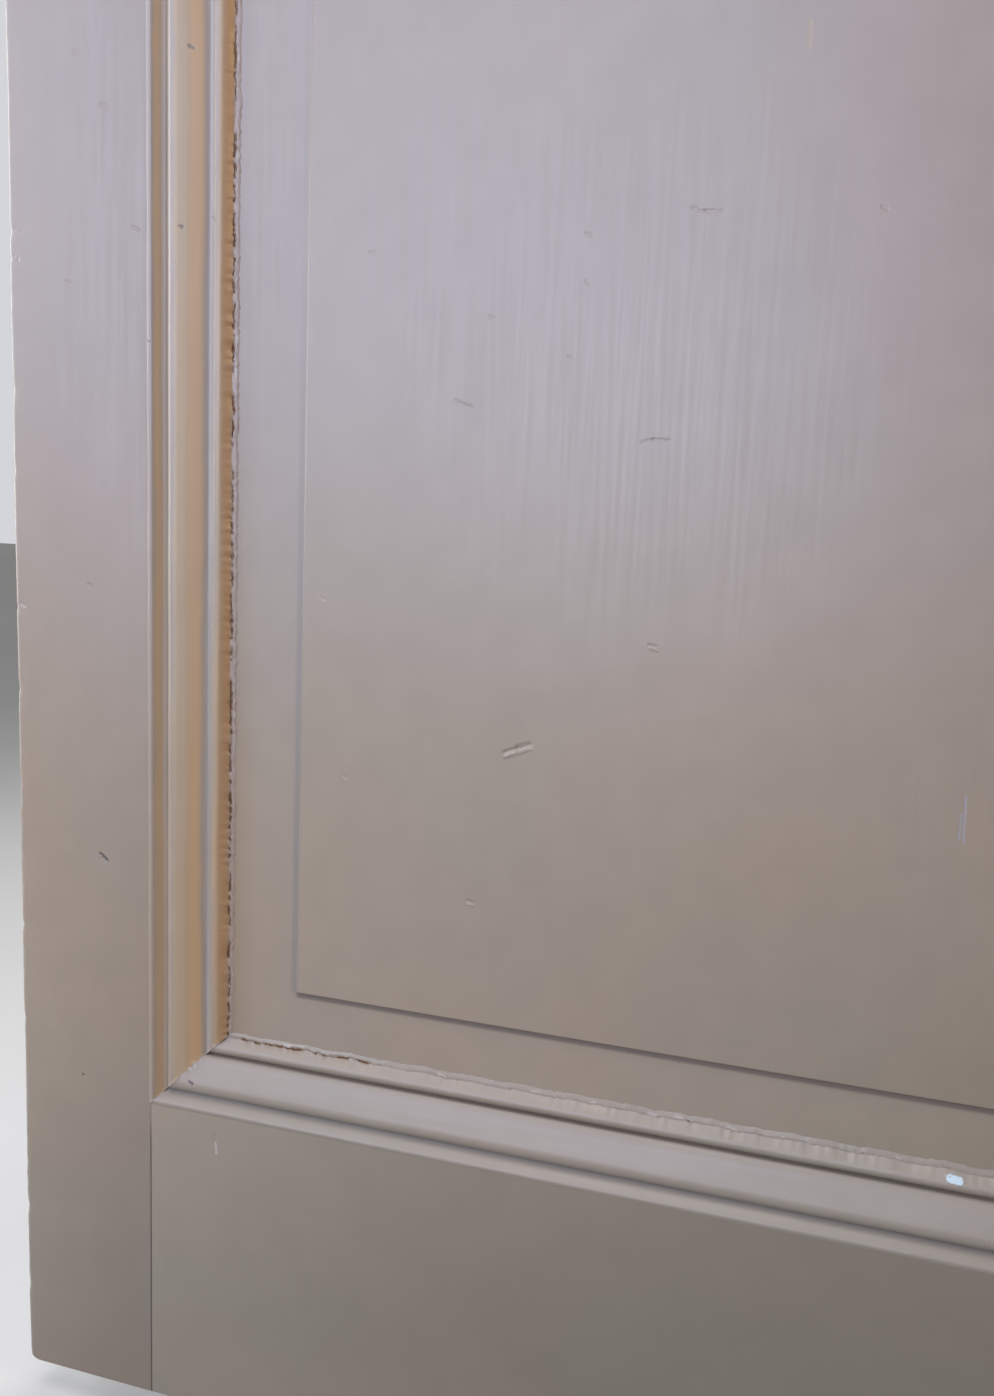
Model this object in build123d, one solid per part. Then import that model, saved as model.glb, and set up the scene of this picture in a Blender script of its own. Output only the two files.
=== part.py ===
from build123d import *
import os
from math import atan2, cos, sin

# Panelled front door in its frame, in millimetres.
# +Z is up, +X is right as seen from outside, and outdoors is towards -Y.
# The origin is the centre of the threshold's underside.
# Every piece is drawn with the door shut. What swings is then turned open.

# Leaf: two stiles, three rails and two fielded panels
leaf_w = 880.0
leaf_h = 2040.0
leaf_t = 44.0
stile_w = 102.0
bottom_rail_h = 218.0
lock_rail_h = 140.0
top_rail_h = 102.0
lower_opening_h = 794.0
arris_r = 2.0

# Panels: a thin margin in the grooves and a raised field on both faces
panel_t = 18.0
field_rise = 3.0
field_bevel = 1.0
groove_depth = 12.0
groove_gap = 2.0
margin_side = 53.0
margin_end = 41.0

# Mitred moulding planted round each panel: widths are measured from the stile's edge
# and depths from the face of the leaf
moulding_w = 49.0
cove_w = 10.0
cove_depth = 5.6
quirk_w = 0.8
torus_crown_w = 18.0
torus_crown_depth = 1.2
torus_end_w = 37.4
torus_end_depth = 8.4
bead_start_w = 38.4
bead_crown_w = 41.6
bead_crown_depth = 7.6
bead_rise = 1.5
bead_foot = 1.0

# Wedged mortise and tenon joints
tenon_t = 14.0
tenon_shoulder = 24.0
bottom_tenon_space = 34.0
wedge_len = 40.0
wedge_thick = 5.0
stub_web = 3.0

# Room between pieces, and how far a cutting tool reaches past what it cuts
loose = 0.3
running = 0.05
past = 1.0

# Frame
frame_d = 95.0
jamb_t = 58.0
rebate_w = 13.0
leaf_gap = 3.0
seal_gap = 2.0
sill_h = 21.0
sill_gap = 4.0
upstand_h = 12.0
nosing = 28.0
nosing_fall = 8.0
drip_r = 3.0
drip_inset = 9.0
corner_tenon_w = 28.0
corner_tenon_t = 14.0
head_tenon_len = 38.0
sill_tenon_len = 20.0
fixing_r = 5.0
fixing_plug_r = 9.0
fixing_plug_depth = 12.0
fixing_end = 255.0
fixings = 4

# Weather seal
seal_w = 7.0
seal_barb_t = 3.0
seal_barb_len = 6.0
seal_inset = 1.0

# Butt hinges
hinge_h = 100.0
flap_w = 32.0
flap_t = 2.5
knuckle_r = 6.5
pin_r = 3.5
pin_proud = 7.2
knuckles = 3
knuckle_gap = 0.3
pin_cap_r = 5.5
pin_cap_h = 3.0
hinge_from_rail = 88.0
hinge_screws = 3
hinge_screw_near = 10.0
hinge_screw_far = 22.0

# Mortice lock
backset = 50.0
case_w = 75.0
case_h = 165.0
case_t = 15.0
case_wall = 1.5
case_clear = 0.5
forend_t = 3.0
forend_w = 22.0
forend_h = 220.0
lock_centres = 72.0
follower_up = 30.0
follower_r = 9.0
follower_arm = 20.0
follower_arm_w = 5.0
inner_t = 11.0
arm_t = 6.0
latch_h = 30.0
latch_out = 12.0
latch_len = 37.0
latch_nose = 1.0
tail_h = 5.0
tail_gap = 1.0
hook_gap = 5.5
hook_w = 4.5
hook_drop = 6.0
bolt_h = 34.0
bolt_len = 31.0
bolt_throw = 20.0
cylinder_r = 8.5
cylinder_web = 10.0
cylinder_h = 33.0
cylinder_proud = 1.5
cam_r = 15.0
cam_w = 10.0
cam_nose_h = 6.6
cam_side_gap = 0.5
turn_r = 3.2
key_slot_w = 1.4
key_slot_h = 8.0
key_slot_depth = 12.0

# Handles on long plates
plate_w = 38.0
plate_h = 230.0
plate_t = 3.0
plate_corner_r = 6.0
plate_screw_in = 10.0
spindle_w = 8.0
spindle_fit = 0.1
lever_r = 9.5
lever_out = 46.0
lever_len = 118.0
lever_bend_r = 12.0
lever_return = 22.0
grip_t = 10.0
grip_h = 18.0
grip_edge = 2.5
socket_depth = 24.0
socket_spare = 1.0
turn_collar_r = 7.5
turn_collar_len = 11.0
turn_out = 22.0
turn_w = 26.0
turn_t = 6.0
turn_edge_r = 2.6
turn_paddle = 15.4

# Strike plate in the lock jamb
strike_w = 24.0
strike_h = 178.0
strike_t = 2.5
strike_lip_h = 42.0
strike_screw_in = 8.0
strike_clear = 1.5
pocket_end = 6.0

# Countersunk screws
screw_r = 2.0
screw_head_r = 4.5
screw_len = 28.0
screw_fit = 0.05
case_screw_len = 20.0
joint_screw_r = 3.0
joint_screw_head_r = 6.0
joint_screw_len = 90.0

# Places that follow from the sizes above
half_w = leaf_w / 2
rebate_x = half_w + leaf_gap
stop_x = rebate_x - rebate_w
frame_x = stop_x + jamb_t
outer_y = -frame_d / 2
inner_y = frame_d / 2
leaf_in_y = outer_y + leaf_t
mid_y = outer_y + leaf_t / 2
stop_y = leaf_in_y + seal_gap
leaf_z = sill_h + sill_gap
leaf_top = leaf_z + leaf_h
head_z = leaf_top + leaf_gap
stop_z = head_z - rebate_w
frame_top = stop_z + jamb_t
upstand_z = sill_h + upstand_h
lower_z = leaf_z + bottom_rail_h
lock_rail_z = lower_z + lower_opening_h
upper_z = lock_rail_z + lock_rail_h
top_rail_z = leaf_top - top_rail_h
opening_x = half_w - stile_w
margin_depth = (leaf_t - panel_t) / 2
hinge_x = half_w + leaf_gap / 2
hinge_y = outer_y - pin_proud
lock_z = lock_rail_z + lock_rail_h / 2
edge_x = -half_w
spindle_x = edge_x + backset
follower_z = lock_z + follower_up
cylinder_z = follower_z - lock_centres
case_end = forend_t + case_w
swing_open = 90.0


# Helpers
def block(x, y, z):
    """A rectangular block between two values on each axis."""
    size = (x[1] - x[0], y[1] - y[0], z[1] - z[0])
    middle = ((x[0] + x[1]) / 2, (y[0] + y[1]) / 2, (z[0] + z[1]) / 2)
    return Pos(*middle) * Box(*size)


def prism(points, plane, length):
    """A polygon drawn on a plane and carried along its normal."""
    return extrude(plane * make_face(Polyline(*points, close=True)), length)


def rod(start, direction, radius, length):
    """A round bar from a point in one direction."""
    disc = Plane(origin=start, z_dir=direction) * Circle(radius)
    return extrude(disc, length)


def screw(start, direction, shank_r, head_r, length, fit=0.0):
    """A countersunk screw with its flat head at the start. The fit makes its hole."""
    neck = head_r - shank_r
    outline = Polyline(
        (0, 0),
        (head_r + fit, 0),
        (shank_r + fit, neck),
        (shank_r + fit, length + fit),
        (0, length + fit),
        close=True,
    )
    turned = revolve(Plane.XZ * make_face(outline), Axis.Z)
    return Plane(origin=start, z_dir=direction) * turned


def screws(places, direction, shank_r, head_r, length, fit=0.0):
    """A group of equal screws."""
    return [screw(place, direction, shank_r, head_r, length, fit) for place in places]


def cut(piece, tools):
    """Takes each tool away from the piece."""
    for tool in tools:
        piece = piece - tool
    return piece


def to_inside(piece):
    """The same piece on the indoor face of the leaf."""
    return mirror(piece, about=Plane(origin=(0, mid_y, 0), z_dir=(0, 1, 0)))


def opened(piece):
    """Turns a piece of the shut leaf about the hinge pins to where it stands open."""
    return Pos(hinge_x, hinge_y, 0) * Rot(0, 0, swing_open) * Pos(-hinge_x, -hinge_y, 0) * piece


# Moulding round a panel
def crown_arc(crown, end):
    """A round that is level at its crown and falls to its end."""
    across = end[0] - crown[0]
    fall = end[1] - crown[1]
    radius = (across**2 + fall**2) / (2 * fall)
    half_turn = atan2(across, radius - fall) / 2
    middle = (crown[0] + radius * sin(half_turn), crown[1] + radius * (1 - cos(half_turn)))
    return ThreePointArc(crown, middle, end)


def moulding_face():
    """Section of the moulding: sloped edge, broad torus, quirk and bead."""
    torus_crown = (torus_crown_w, torus_crown_depth)
    torus_start = (cove_w + quirk_w, cove_depth)
    torus_end = (torus_end_w, torus_end_depth)
    bead_crown = (bead_crown_w, bead_crown_depth)
    bead_start = (bead_start_w, bead_crown_depth + bead_rise)
    bead_end = (moulding_w, margin_depth - bead_foot)
    outline = [
        Polyline((0, margin_depth), (0, 0), (cove_w, cove_depth), torus_start),
        crown_arc(torus_crown, torus_start),
        crown_arc(torus_crown, torus_end),
        Line(torus_end, bead_start),
        crown_arc(bead_crown, bead_start),
        crown_arc(bead_crown, bead_end),
        Polyline(bead_end, (moulding_w, margin_depth), (0, margin_depth)),
    ]
    edges = [edge for line in outline for edge in line.edges()]
    return make_face(edges)


def moulding_length(length):
    """One mitred length. X runs along it, Y into the leaf and Z towards the panel."""
    section = Plane(origin=(0, 0, 0), x_dir=(0, 0, 1), z_dir=(-1, 0, 0)) * moulding_face()
    bar = extrude(section, -length)
    mitres = [(0, 0), (length, 0), (length - moulding_w, moulding_w), (moulding_w, moulding_w)]
    wedge = prism(mitres, Plane.XZ.offset(leaf_t), -2 * leaf_t)
    return bar & wedge


def mouldings(low, high):
    """Four mitred lengths round one opening on the outdoor face, by side."""
    across = 2 * opening_x
    upright = high - low
    corners = {
        "bottom": ((-opening_x, outer_y, low), 0, across),
        "hinge_side": ((opening_x, outer_y, low), -90, upright),
        "top": ((opening_x, outer_y, high), 180, across),
        "lock_side": ((-opening_x, outer_y, high), 90, upright),
    }
    lengths = {}
    for side, (corner, turn, length) in corners.items():
        lengths[side] = Pos(*corner) * Rot(0, turn, 0) * moulding_length(length)
    return lengths


# Panels and joints of the leaf
def panel(low, high):
    """A fielded panel: its margin reaches into the grooves on all four sides."""
    tongue = groove_depth - groove_gap
    slab = block(
        (-opening_x - tongue, opening_x + tongue),
        (mid_y - panel_t / 2, mid_y + panel_t / 2),
        (low - tongue, high + tongue),
    )
    side = moulding_w + margin_side
    end = moulding_w + margin_end
    field = block(
        (-opening_x + side, opening_x - side),
        (mid_y - panel_t / 2 - field_rise, mid_y + panel_t / 2 + field_rise),
        (low + end, high - end),
    )
    faces = field.faces().filter_by(Axis.Y)
    field = chamfer(faces.edges(), field_bevel)
    return slab + field


def tenon_heights():
    """Lowest and highest point of each through tenon, by rail."""
    half = bottom_rail_h / 2
    return {
        "bottom": [
            (leaf_z + tenon_shoulder, leaf_z + half - bottom_tenon_space / 2),
            (leaf_z + half + bottom_tenon_space / 2, lower_z - tenon_shoulder),
        ],
        "lock": [(lock_rail_z + tenon_shoulder, upper_z - tenon_shoulder)],
        "top": [(top_rail_z + tenon_shoulder, leaf_top - tenon_shoulder)],
    }


def tenon(span, heights):
    """One tenon between two X values."""
    return block(span, (mid_y - tenon_t / 2, mid_y + tenon_t / 2), heights)


def rail(low, high, lower_groove, upper_groove, lock_span, rail_tenons):
    """A rail between the stiles, with haunches, tenons and grooves for the panels."""
    body = block((-opening_x, opening_x), (outer_y, leaf_in_y), (low, high))
    haunch_x = opening_x + groove_depth
    groove_y = (mid_y - panel_t / 2, mid_y + panel_t / 2)
    body = body + block((-haunch_x, haunch_x), groove_y, (low, high))
    for heights in rail_tenons:
        body = body + tenon(lock_span, heights) + tenon((0, half_w), heights)
    if lower_groove:
        body = body - block((-haunch_x, haunch_x), groove_y, (low, low + groove_depth))
    if upper_groove:
        body = body - block((-haunch_x, haunch_x), groove_y, (high - groove_depth, high))
    return body


def wedges_at(end_x, inward, heights):
    """Two wedges driven beside a tenon from the edge of the leaf."""
    pair = []
    for level, away in ((heights[0], -1), (heights[1], 1)):
        outline = [
            (end_x, level),
            (end_x, level + away * wedge_thick),
            (end_x + inward * wedge_len, level),
        ]
        plane = Plane.XZ.offset(-mid_y - tenon_t / 2)
        pair.append(prism(outline, plane, tenon_t))
    return pair


def all_wedges():
    """Wedges of every through tenon. The lock rail has none on the lock's side."""
    heights = tenon_heights()
    pieces = {"lock": [], "hinge": []}
    for name in ("bottom", "lock", "top"):
        for span in heights[name]:
            pieces["hinge"] += wedges_at(half_w, -1, span)
            if name != "lock":
                pieces["lock"] += wedges_at(-half_w, 1, span)
    return pieces


def rails():
    """Bottom, lock and top rail."""
    heights = tenon_heights()
    through = (-half_w, 0)
    stub = (edge_x + case_end + case_clear + stub_web, 0)
    return {
        "bottom_rail": rail(leaf_z, lower_z, False, True, through, heights["bottom"]),
        "lock_rail": rail(lock_rail_z, upper_z, True, True, stub, heights["lock"]),
        "top_rail": rail(top_rail_z, leaf_top, True, False, through, heights["top"]),
    }


def stile(side):
    """An upright of the leaf with rounded outer arrises and a panel groove."""
    outer = side * half_w
    inner = side * opening_x
    outline = Polyline(
        (outer, outer_y), (inner, outer_y), (inner, leaf_in_y), (outer, leaf_in_y), close=True
    )
    section = make_face(outline)
    arrises = [v for v in section.vertices() if abs(v.X - outer) < arris_r]
    section = fillet(arrises, arris_r)
    bar = Pos(0, 0, leaf_z) * extrude(section, leaf_h)
    groove_x = sorted((inner, inner + side * groove_depth))
    groove_y = (mid_y - panel_t / 2, mid_y + panel_t / 2)
    return bar - block(groove_x, groove_y, (leaf_z, leaf_top))


# Hinges
def hinge_heights():
    """Middle height of each hinge, clear of the tenons of the rail beside it."""
    return [lower_z + hinge_from_rail, upper_z + hinge_from_rail, top_rail_z - hinge_from_rail]


def hinge_flap(side, middle):
    """A flap with its knuckles. Side 1 is the jamb's and side -1 the leaf's."""
    face = hinge_x + side * leaf_gap / 2
    flap_x = sorted((face, face + side * flap_t))
    low = middle - hinge_h / 2
    flap = block(flap_x, (outer_y, outer_y + flap_w), (low, low + hinge_h))
    pitch = hinge_h / knuckles
    own = range(0, knuckles, 2) if side > 0 else range(1, knuckles, 2)
    bore = pin_r + (0.0 if side > 0 else running)
    for i in own:
        bottom = low + i * pitch + (knuckle_gap / 2 if i > 0 else 0)
        top = low + (i + 1) * pitch - (knuckle_gap / 2 if i < knuckles - 1 else 0)
        tongue = block(flap_x, (hinge_y, outer_y), (bottom, top))
        barrel = rod((hinge_x, hinge_y, bottom), (0, 0, 1), knuckle_r, top - bottom)
        flap = flap + tongue + barrel
    flap = flap - rod((hinge_x, hinge_y, low - past), (0, 0, 1), bore, hinge_h + 2 * past)
    return cut(flap, flap_screws(side, middle, screw_fit))


def flap_screws(side, middle, fit=0.0):
    """The screws of one flap, staggered along it."""
    face = hinge_x + side * leaf_gap / 2
    places = []
    for i in range(hinge_screws):
        up = (i + 0.5) * hinge_h / hinge_screws - hinge_h / 2
        across = hinge_screw_near if i % 2 else hinge_screw_far
        places.append((face, outer_y + across, middle + up))
    return screws(places, (side, 0, 0), screw_r, screw_head_r, screw_len, fit)


def hinge_pin(middle):
    """A pin with a flat cap on top."""
    low = middle - hinge_h / 2
    shank = rod((hinge_x, hinge_y, low), (0, 0, 1), pin_r, hinge_h)
    cap = rod((hinge_x, hinge_y, low + hinge_h), (0, 0, 1), pin_cap_r, pin_cap_h)
    return shank + cap


def flap_recess(side, middle):
    """What a flap takes out of the wood that it is let into."""
    face = hinge_x + side * leaf_gap / 2
    flap_x = sorted((face, face + side * flap_t))
    low = middle - hinge_h / 2
    return block(flap_x, (outer_y, outer_y + flap_w), (low, low + hinge_h))


# Lock
def keyhole_face(fit=0.0):
    """Outline of the cylinder: a round head over a narrower web."""
    foot = cylinder_h - cylinder_r
    web = cylinder_web / 2
    head = Circle(cylinder_r + fit)
    leg = Pos(0, -(foot - web) / 2) * Rectangle(cylinder_web + 2 * fit, foot - web)
    toe = Pos(0, -(foot - web)) * Circle(web + fit)
    return head + leg + toe


def keyhole(start, end, fit=0.0):
    """The cylinder's outline carried through the leaf between two Y values."""
    plane = Plane(origin=(spindle_x, end, cylinder_z), x_dir=(1, 0, 0), z_dir=(0, -1, 0))
    return extrude(plane * keyhole_face(fit), end - start)


def lock_case():
    """A folded steel case that is open at the forend."""
    x = (edge_x + forend_t, edge_x + case_end)
    y = (mid_y - case_t / 2, mid_y + case_t / 2)
    z = (lock_z - case_h / 2, lock_z + case_h / 2)
    hollow = block(
        (x[0], x[1] - case_wall),
        (y[0] + case_wall, y[1] - case_wall),
        (z[0] + case_wall, z[1] - case_wall),
    )
    start = (spindle_x, y[0] - past, follower_z)
    bore = rod(start, (0, 1, 0), follower_r + running, case_t + 2 * past)
    return block(x, y, z) - hollow - bore - keyhole(y[0] - past, y[1] + past, loose)


def bolt_windows(start, end, fit):
    """Square windows for the latch and the bolt between two X values."""
    y = (mid_y - inner_t / 2 - fit, mid_y + inner_t / 2 + fit)
    windows = []
    for middle, height in ((follower_z, latch_h), (cylinder_z, bolt_h)):
        half = height / 2 + fit
        windows.append(block((start, end), y, (middle - half, middle + half)))
    return windows


def lock_forend():
    """The plate on the edge of the leaf that the latch and bolt come through."""
    plate = block(
        (edge_x, edge_x + forend_t),
        (mid_y - forend_w / 2, mid_y + forend_w / 2),
        (lock_z - forend_h / 2, lock_z + forend_h / 2),
    )
    plate = cut(plate, bolt_windows(edge_x - past, edge_x + forend_t + past, loose))
    return cut(plate, forend_screws(screw_fit))


def forend_screws(fit=0.0):
    """One screw at each end of the forend."""
    end = (forend_h + case_h) / 4
    places = [(edge_x, mid_y, lock_z - end), (edge_x, mid_y, lock_z + end)]
    return screws(places, (1, 0, 0), screw_r, screw_head_r, case_screw_len, fit)


def follower():
    """The hub that the spindle turns, with an arm that draws the latch back."""
    hub = rod((spindle_x, mid_y - case_t / 2, follower_z), (0, 1, 0), follower_r, case_t)
    arm = block(
        (spindle_x - follower_arm_w / 2, spindle_x + follower_arm_w / 2),
        (mid_y - arm_t / 2, mid_y + arm_t / 2),
        (follower_z, follower_z + follower_arm),
    )
    return hub + arm - spindle_bar(mid_y - case_t, mid_y + case_t, spindle_fit)


def spindle_bar(start, end, fit=0.0):
    """The square bar, or with a fit the square hole for it."""
    half = spindle_w / 2 + fit / 2
    return block(
        (spindle_x - half, spindle_x + half), (start, end), (follower_z - half, follower_z + half)
    )


def latch():
    """The sprung latch: a bevelled head, and a tail with a hook behind the arm."""
    tip = edge_x - latch_out
    rear = tip + latch_len
    y = (mid_y - inner_t / 2, mid_y + inner_t / 2)
    head = block((tip, rear), y, (follower_z - latch_h / 2, follower_z + latch_h / 2))
    bevel = [
        (tip - past, y[1] + past),
        (tip - past, y[0] + latch_nose),
        (tip, y[0] + latch_nose),
        (edge_x, y[1]),
        (edge_x, y[1] + past),
    ]
    lowered = Plane.XY.offset(follower_z - latch_h)
    head = head - prism(bevel, lowered, 2 * latch_h)
    tail_z = follower_z + follower_arm + tail_gap
    thin = (mid_y - arm_t / 2, mid_y + arm_t / 2)
    hook_x = spindle_x + hook_gap
    riser = block((rear - tail_h, rear), thin, (follower_z, tail_z + tail_h))
    bar = block((rear - tail_h, hook_x + hook_w), thin, (tail_z, tail_z + tail_h))
    hook = block((hook_x, hook_x + hook_w), thin, (tail_z - hook_drop, tail_z))
    return head + riser + bar + hook


def deadbolt():
    """The bolt, drawn back, with a tail that passes over the cam."""
    rear = edge_x + bolt_len
    y = (mid_y - inner_t / 2, mid_y + inner_t / 2)
    head = block((edge_x, rear), y, (cylinder_z - bolt_h / 2, cylinder_z + bolt_h / 2))
    thin = (mid_y - arm_t / 2, mid_y + arm_t / 2)
    tail_z = cylinder_z + bolt_h / 2
    tail = block((rear - tail_h, spindle_x + cylinder_r), thin, (tail_z, tail_z + tail_h))
    riser = block((rear - tail_h, rear), thin, (cylinder_z, tail_z + tail_h))
    return head + riser + tail


def lock_cylinder():
    """The profile cylinder, cut away in the middle for its cam."""
    start = outer_y - plate_t - cylinder_proud
    end = leaf_in_y + plate_t + cylinder_proud
    body = keyhole(start, end)
    gap = cam_w / 2 + cam_side_gap
    room = rod((spindle_x, mid_y - gap, cylinder_z), (0, 1, 0), cam_r + cam_side_gap, 2 * gap)
    bore = rod((spindle_x, mid_y, cylinder_z), (0, 1, 0), turn_r + running, leaf_t)
    slot = block(
        (spindle_x - key_slot_w / 2, spindle_x + key_slot_w / 2),
        (start, start + key_slot_depth),
        (cylinder_z - key_slot_h / 2, cylinder_z + key_slot_h / 2),
    )
    return body - room - bore - slot


def thumbturn_cam():
    """The cam in the middle of the cylinder. Its nose points away from the bolt."""
    ring = rod((spindle_x, mid_y - cam_w / 2, cylinder_z), (0, 1, 0), cylinder_r, cam_w)
    nose = block(
        (spindle_x, spindle_x + cam_r),
        (mid_y - cam_w / 2, mid_y + cam_w / 2),
        (cylinder_z - cam_nose_h / 2, cylinder_z + cam_nose_h / 2),
    )
    disc = rod((spindle_x, mid_y - cam_w / 2, cylinder_z), (0, 1, 0), cam_r, cam_w)
    bore = rod((spindle_x, mid_y - cam_w, cylinder_z), (0, 1, 0), turn_r, 2 * cam_w)
    return ring + (nose & disc) - bore


def thumbturn():
    """The turn piece on the indoor end of the cylinder, with its driving rod."""
    face = leaf_in_y + plate_t + cylinder_proud + loose
    start = mid_y - cam_w / 2
    drive = rod((spindle_x, start, cylinder_z), (0, 1, 0), turn_r, face - start)
    collar = rod((spindle_x, face, cylinder_z), (0, 1, 0), turn_collar_r, turn_collar_len)
    end = (spindle_x, face + turn_out, cylinder_z)
    plane = Plane(origin=end, x_dir=(1, 0, 0), z_dir=(0, -1, 0))
    paddle = extrude(plane * RectangleRounded(turn_t, turn_w, turn_edge_r), turn_paddle)
    return drive + collar + paddle


# Handles
def backplate_blank():
    """The long plate on the outdoor face, before its holes."""
    middle = (follower_z + cylinder_z) / 2
    plane = Plane(origin=(spindle_x, outer_y, middle), x_dir=(1, 0, 0), z_dir=(0, -1, 0))
    return extrude(plane * RectangleRounded(plate_w, plate_h, plate_corner_r), plate_t)


def backplate_screws(fit=0.0):
    """One screw at each end of the outdoor plate."""
    middle = (follower_z + cylinder_z) / 2
    along = plate_h / 2 - plate_screw_in
    places = [(spindle_x, outer_y - plate_t, middle + end * along) for end in (-1, 1)]
    return screws(places, (0, 1, 0), screw_r, screw_head_r, case_screw_len, fit)


def backplate():
    """The plate with the bore for the lever and the outline of the cylinder."""
    start = outer_y - plate_t - past
    bore = rod((spindle_x, start, follower_z), (0, 1, 0), lever_r + running, plate_t + 2 * past)
    hole = keyhole(start, outer_y + past, loose)
    return cut(backplate_blank() - bore - hole, backplate_screws(screw_fit))


def lever():
    """A round neck with a flat grip, which turns back towards the door at its end."""
    near = outer_y - loose
    far = outer_y - lever_out
    end_x = spindle_x + lever_len
    neck = rod((spindle_x, near, follower_z), (0, -1, 0), lever_r, near - far + grip_t / 2)
    path = FilletPolyline(
        (spindle_x, far, follower_z),
        (end_x, far, follower_z),
        (end_x, far + lever_return, follower_z),
        radius=lever_bend_r,
    )
    section = chamfer(Rectangle(grip_t, grip_h).vertices(), grip_edge)
    start = Plane(origin=(spindle_x, far, follower_z), x_dir=(0, 1, 0), z_dir=(1, 0, 0))
    grip = sweep(start * section, path=path)
    socket_end = near - socket_depth
    return neck + grip - spindle_bar(socket_end, near + past, spindle_fit)


def spindle():
    """The square bar that joins both levers through the follower."""
    reach = socket_depth - socket_spare + loose
    return spindle_bar(outer_y - reach, leaf_in_y + reach)


# Frame
def jamb_blank(side):
    """A rebated upright, longer than it ends up."""
    outline = [
        (side * frame_x, outer_y),
        (side * rebate_x, outer_y),
        (side * rebate_x, stop_y),
        (side * stop_x, stop_y),
        (side * stop_x, inner_y),
        (side * frame_x, inner_y),
    ]
    return prism(outline, Plane.XY, frame_top)


def head_blank():
    """The rebated head over the whole width."""
    outline = [
        (outer_y, frame_top),
        (outer_y, head_z),
        (stop_y, head_z),
        (stop_y, stop_z),
        (inner_y, stop_z),
        (inner_y, frame_top),
    ]
    return prism(outline, Plane.YZ.offset(-frame_x), 2 * frame_x)


def sill_blank():
    """The threshold: an upstand indoors, a fall outdoors and a drip groove."""
    nose_y = outer_y - nosing
    outline = [
        (inner_y, 0),
        (inner_y, upstand_z),
        (stop_y, upstand_z),
        (stop_y, sill_h),
        (nose_y, sill_h - nosing_fall),
        (nose_y, 0),
    ]
    bar = prism(outline, Plane.YZ.offset(-frame_x), 2 * frame_x)
    start = (-frame_x - past, nose_y + drip_inset, 0)
    drip = rod(start, (1, 0, 0), drip_r, 2 * frame_x + 2 * past)
    return bar - drip


def corner_tenon(side, low, high):
    """A tenon of a jamb, in the middle of its indoor part."""
    middle_x = side * (stop_x + frame_x) / 2
    middle_y = (stop_y + inner_y) / 2
    return block(
        (middle_x - corner_tenon_w / 2, middle_x + corner_tenon_w / 2),
        (middle_y - corner_tenon_t / 2, middle_y + corner_tenon_t / 2),
        (low, high),
    )


def frame_tenons(side):
    """The jamb's tenons in the threshold and the head."""
    foot = corner_tenon(side, upstand_z - sill_tenon_len, upstand_z)
    top = corner_tenon(side, stop_z, stop_z + head_tenon_len)
    return [foot, top]


def fixing_heights():
    """Heights of the holes for fixing the jambs to the building."""
    step = (stop_z - 2 * fixing_end) / (fixings - 1)
    return [fixing_end + step * i for i in range(fixings)]


def fixing_holes(side):
    """Plain holes through a jamb, sunk for a cover plug on the doorway side."""
    middle_y = (stop_y + inner_y) / 2
    holes = []
    for z in fixing_heights():
        start = (side * (stop_x - past), middle_y, z)
        holes.append(rod(start, (side, 0, 0), fixing_r, jamb_t + 2 * past))
        holes.append(rod(start, (side, 0, 0), fixing_plug_r, fixing_plug_depth + past))
    return holes


def seal_kerf(side):
    """The saw cut in the stop of a jamb that holds the seal's barb."""
    middle = side * (stop_x + seal_w / 2 + seal_inset)
    return block(
        (middle - seal_barb_t / 2, middle + seal_barb_t / 2),
        (stop_y, stop_y + seal_barb_len),
        (upstand_z, frame_top),
    )


def seal_section(middle):
    """The seal's section: a low bulb in front of a barb. Y is the second axis."""
    bulb = seal_gap - loose
    arc = ThreePointArc(
        (middle - seal_w / 2, stop_y),
        (middle, stop_y - bulb),
        (middle + seal_w / 2, stop_y),
    )
    barb = Polyline(
        (middle + seal_w / 2, stop_y),
        (middle + seal_barb_t / 2, stop_y),
        (middle + seal_barb_t / 2, stop_y + seal_barb_len),
        (middle - seal_barb_t / 2, stop_y + seal_barb_len),
        (middle - seal_barb_t / 2, stop_y),
        (middle - seal_w / 2, stop_y),
    )
    return make_face(arc.edges() + barb.edges())


def weather_seals():
    """A seal up each jamb, and one along the head between them."""
    inset = seal_w / 2 + seal_inset
    upright = stop_z - upstand_z
    strips = []
    for side in (-1, 1):
        section = seal_section(side * (stop_x + inset))
        strips.append(Pos(0, 0, upstand_z) * extrude(section, upright))
    across = 2 * (stop_x + inset)
    section = seal_section(0)
    strip = extrude(section, across)
    strips.append(Pos(-across / 2, 0, stop_z + inset) * Rot(0, 90, 0) * strip)
    return strips


def head_kerf():
    """The saw cut in the head's stop."""
    inset = seal_w / 2 + seal_inset
    middle = stop_z + inset
    half = stop_x + inset
    return block(
        (-half, half),
        (stop_y, stop_y + seal_barb_len),
        (middle - seal_barb_t / 2, middle + seal_barb_t / 2),
    )


def strike_plate():
    """The plate that the latch and bolt enter, flush in the lock jamb."""
    middle = (follower_z + cylinder_z) / 2
    plate = block(
        (-rebate_x - strike_t, -rebate_x),
        (mid_y - strike_w / 2, mid_y + strike_w / 2),
        (middle - strike_h / 2, middle + strike_h / 2),
    )
    lip = block(
        (-rebate_x - strike_t, -rebate_x),
        (outer_y, mid_y),
        (follower_z - strike_lip_h / 2, follower_z + strike_lip_h / 2),
    )
    return plate + lip


def strike_holes(depth):
    """Windows through the strike plate, and pockets behind them."""
    return bolt_windows(-rebate_x - depth, -rebate_x + past, strike_clear)


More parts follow.
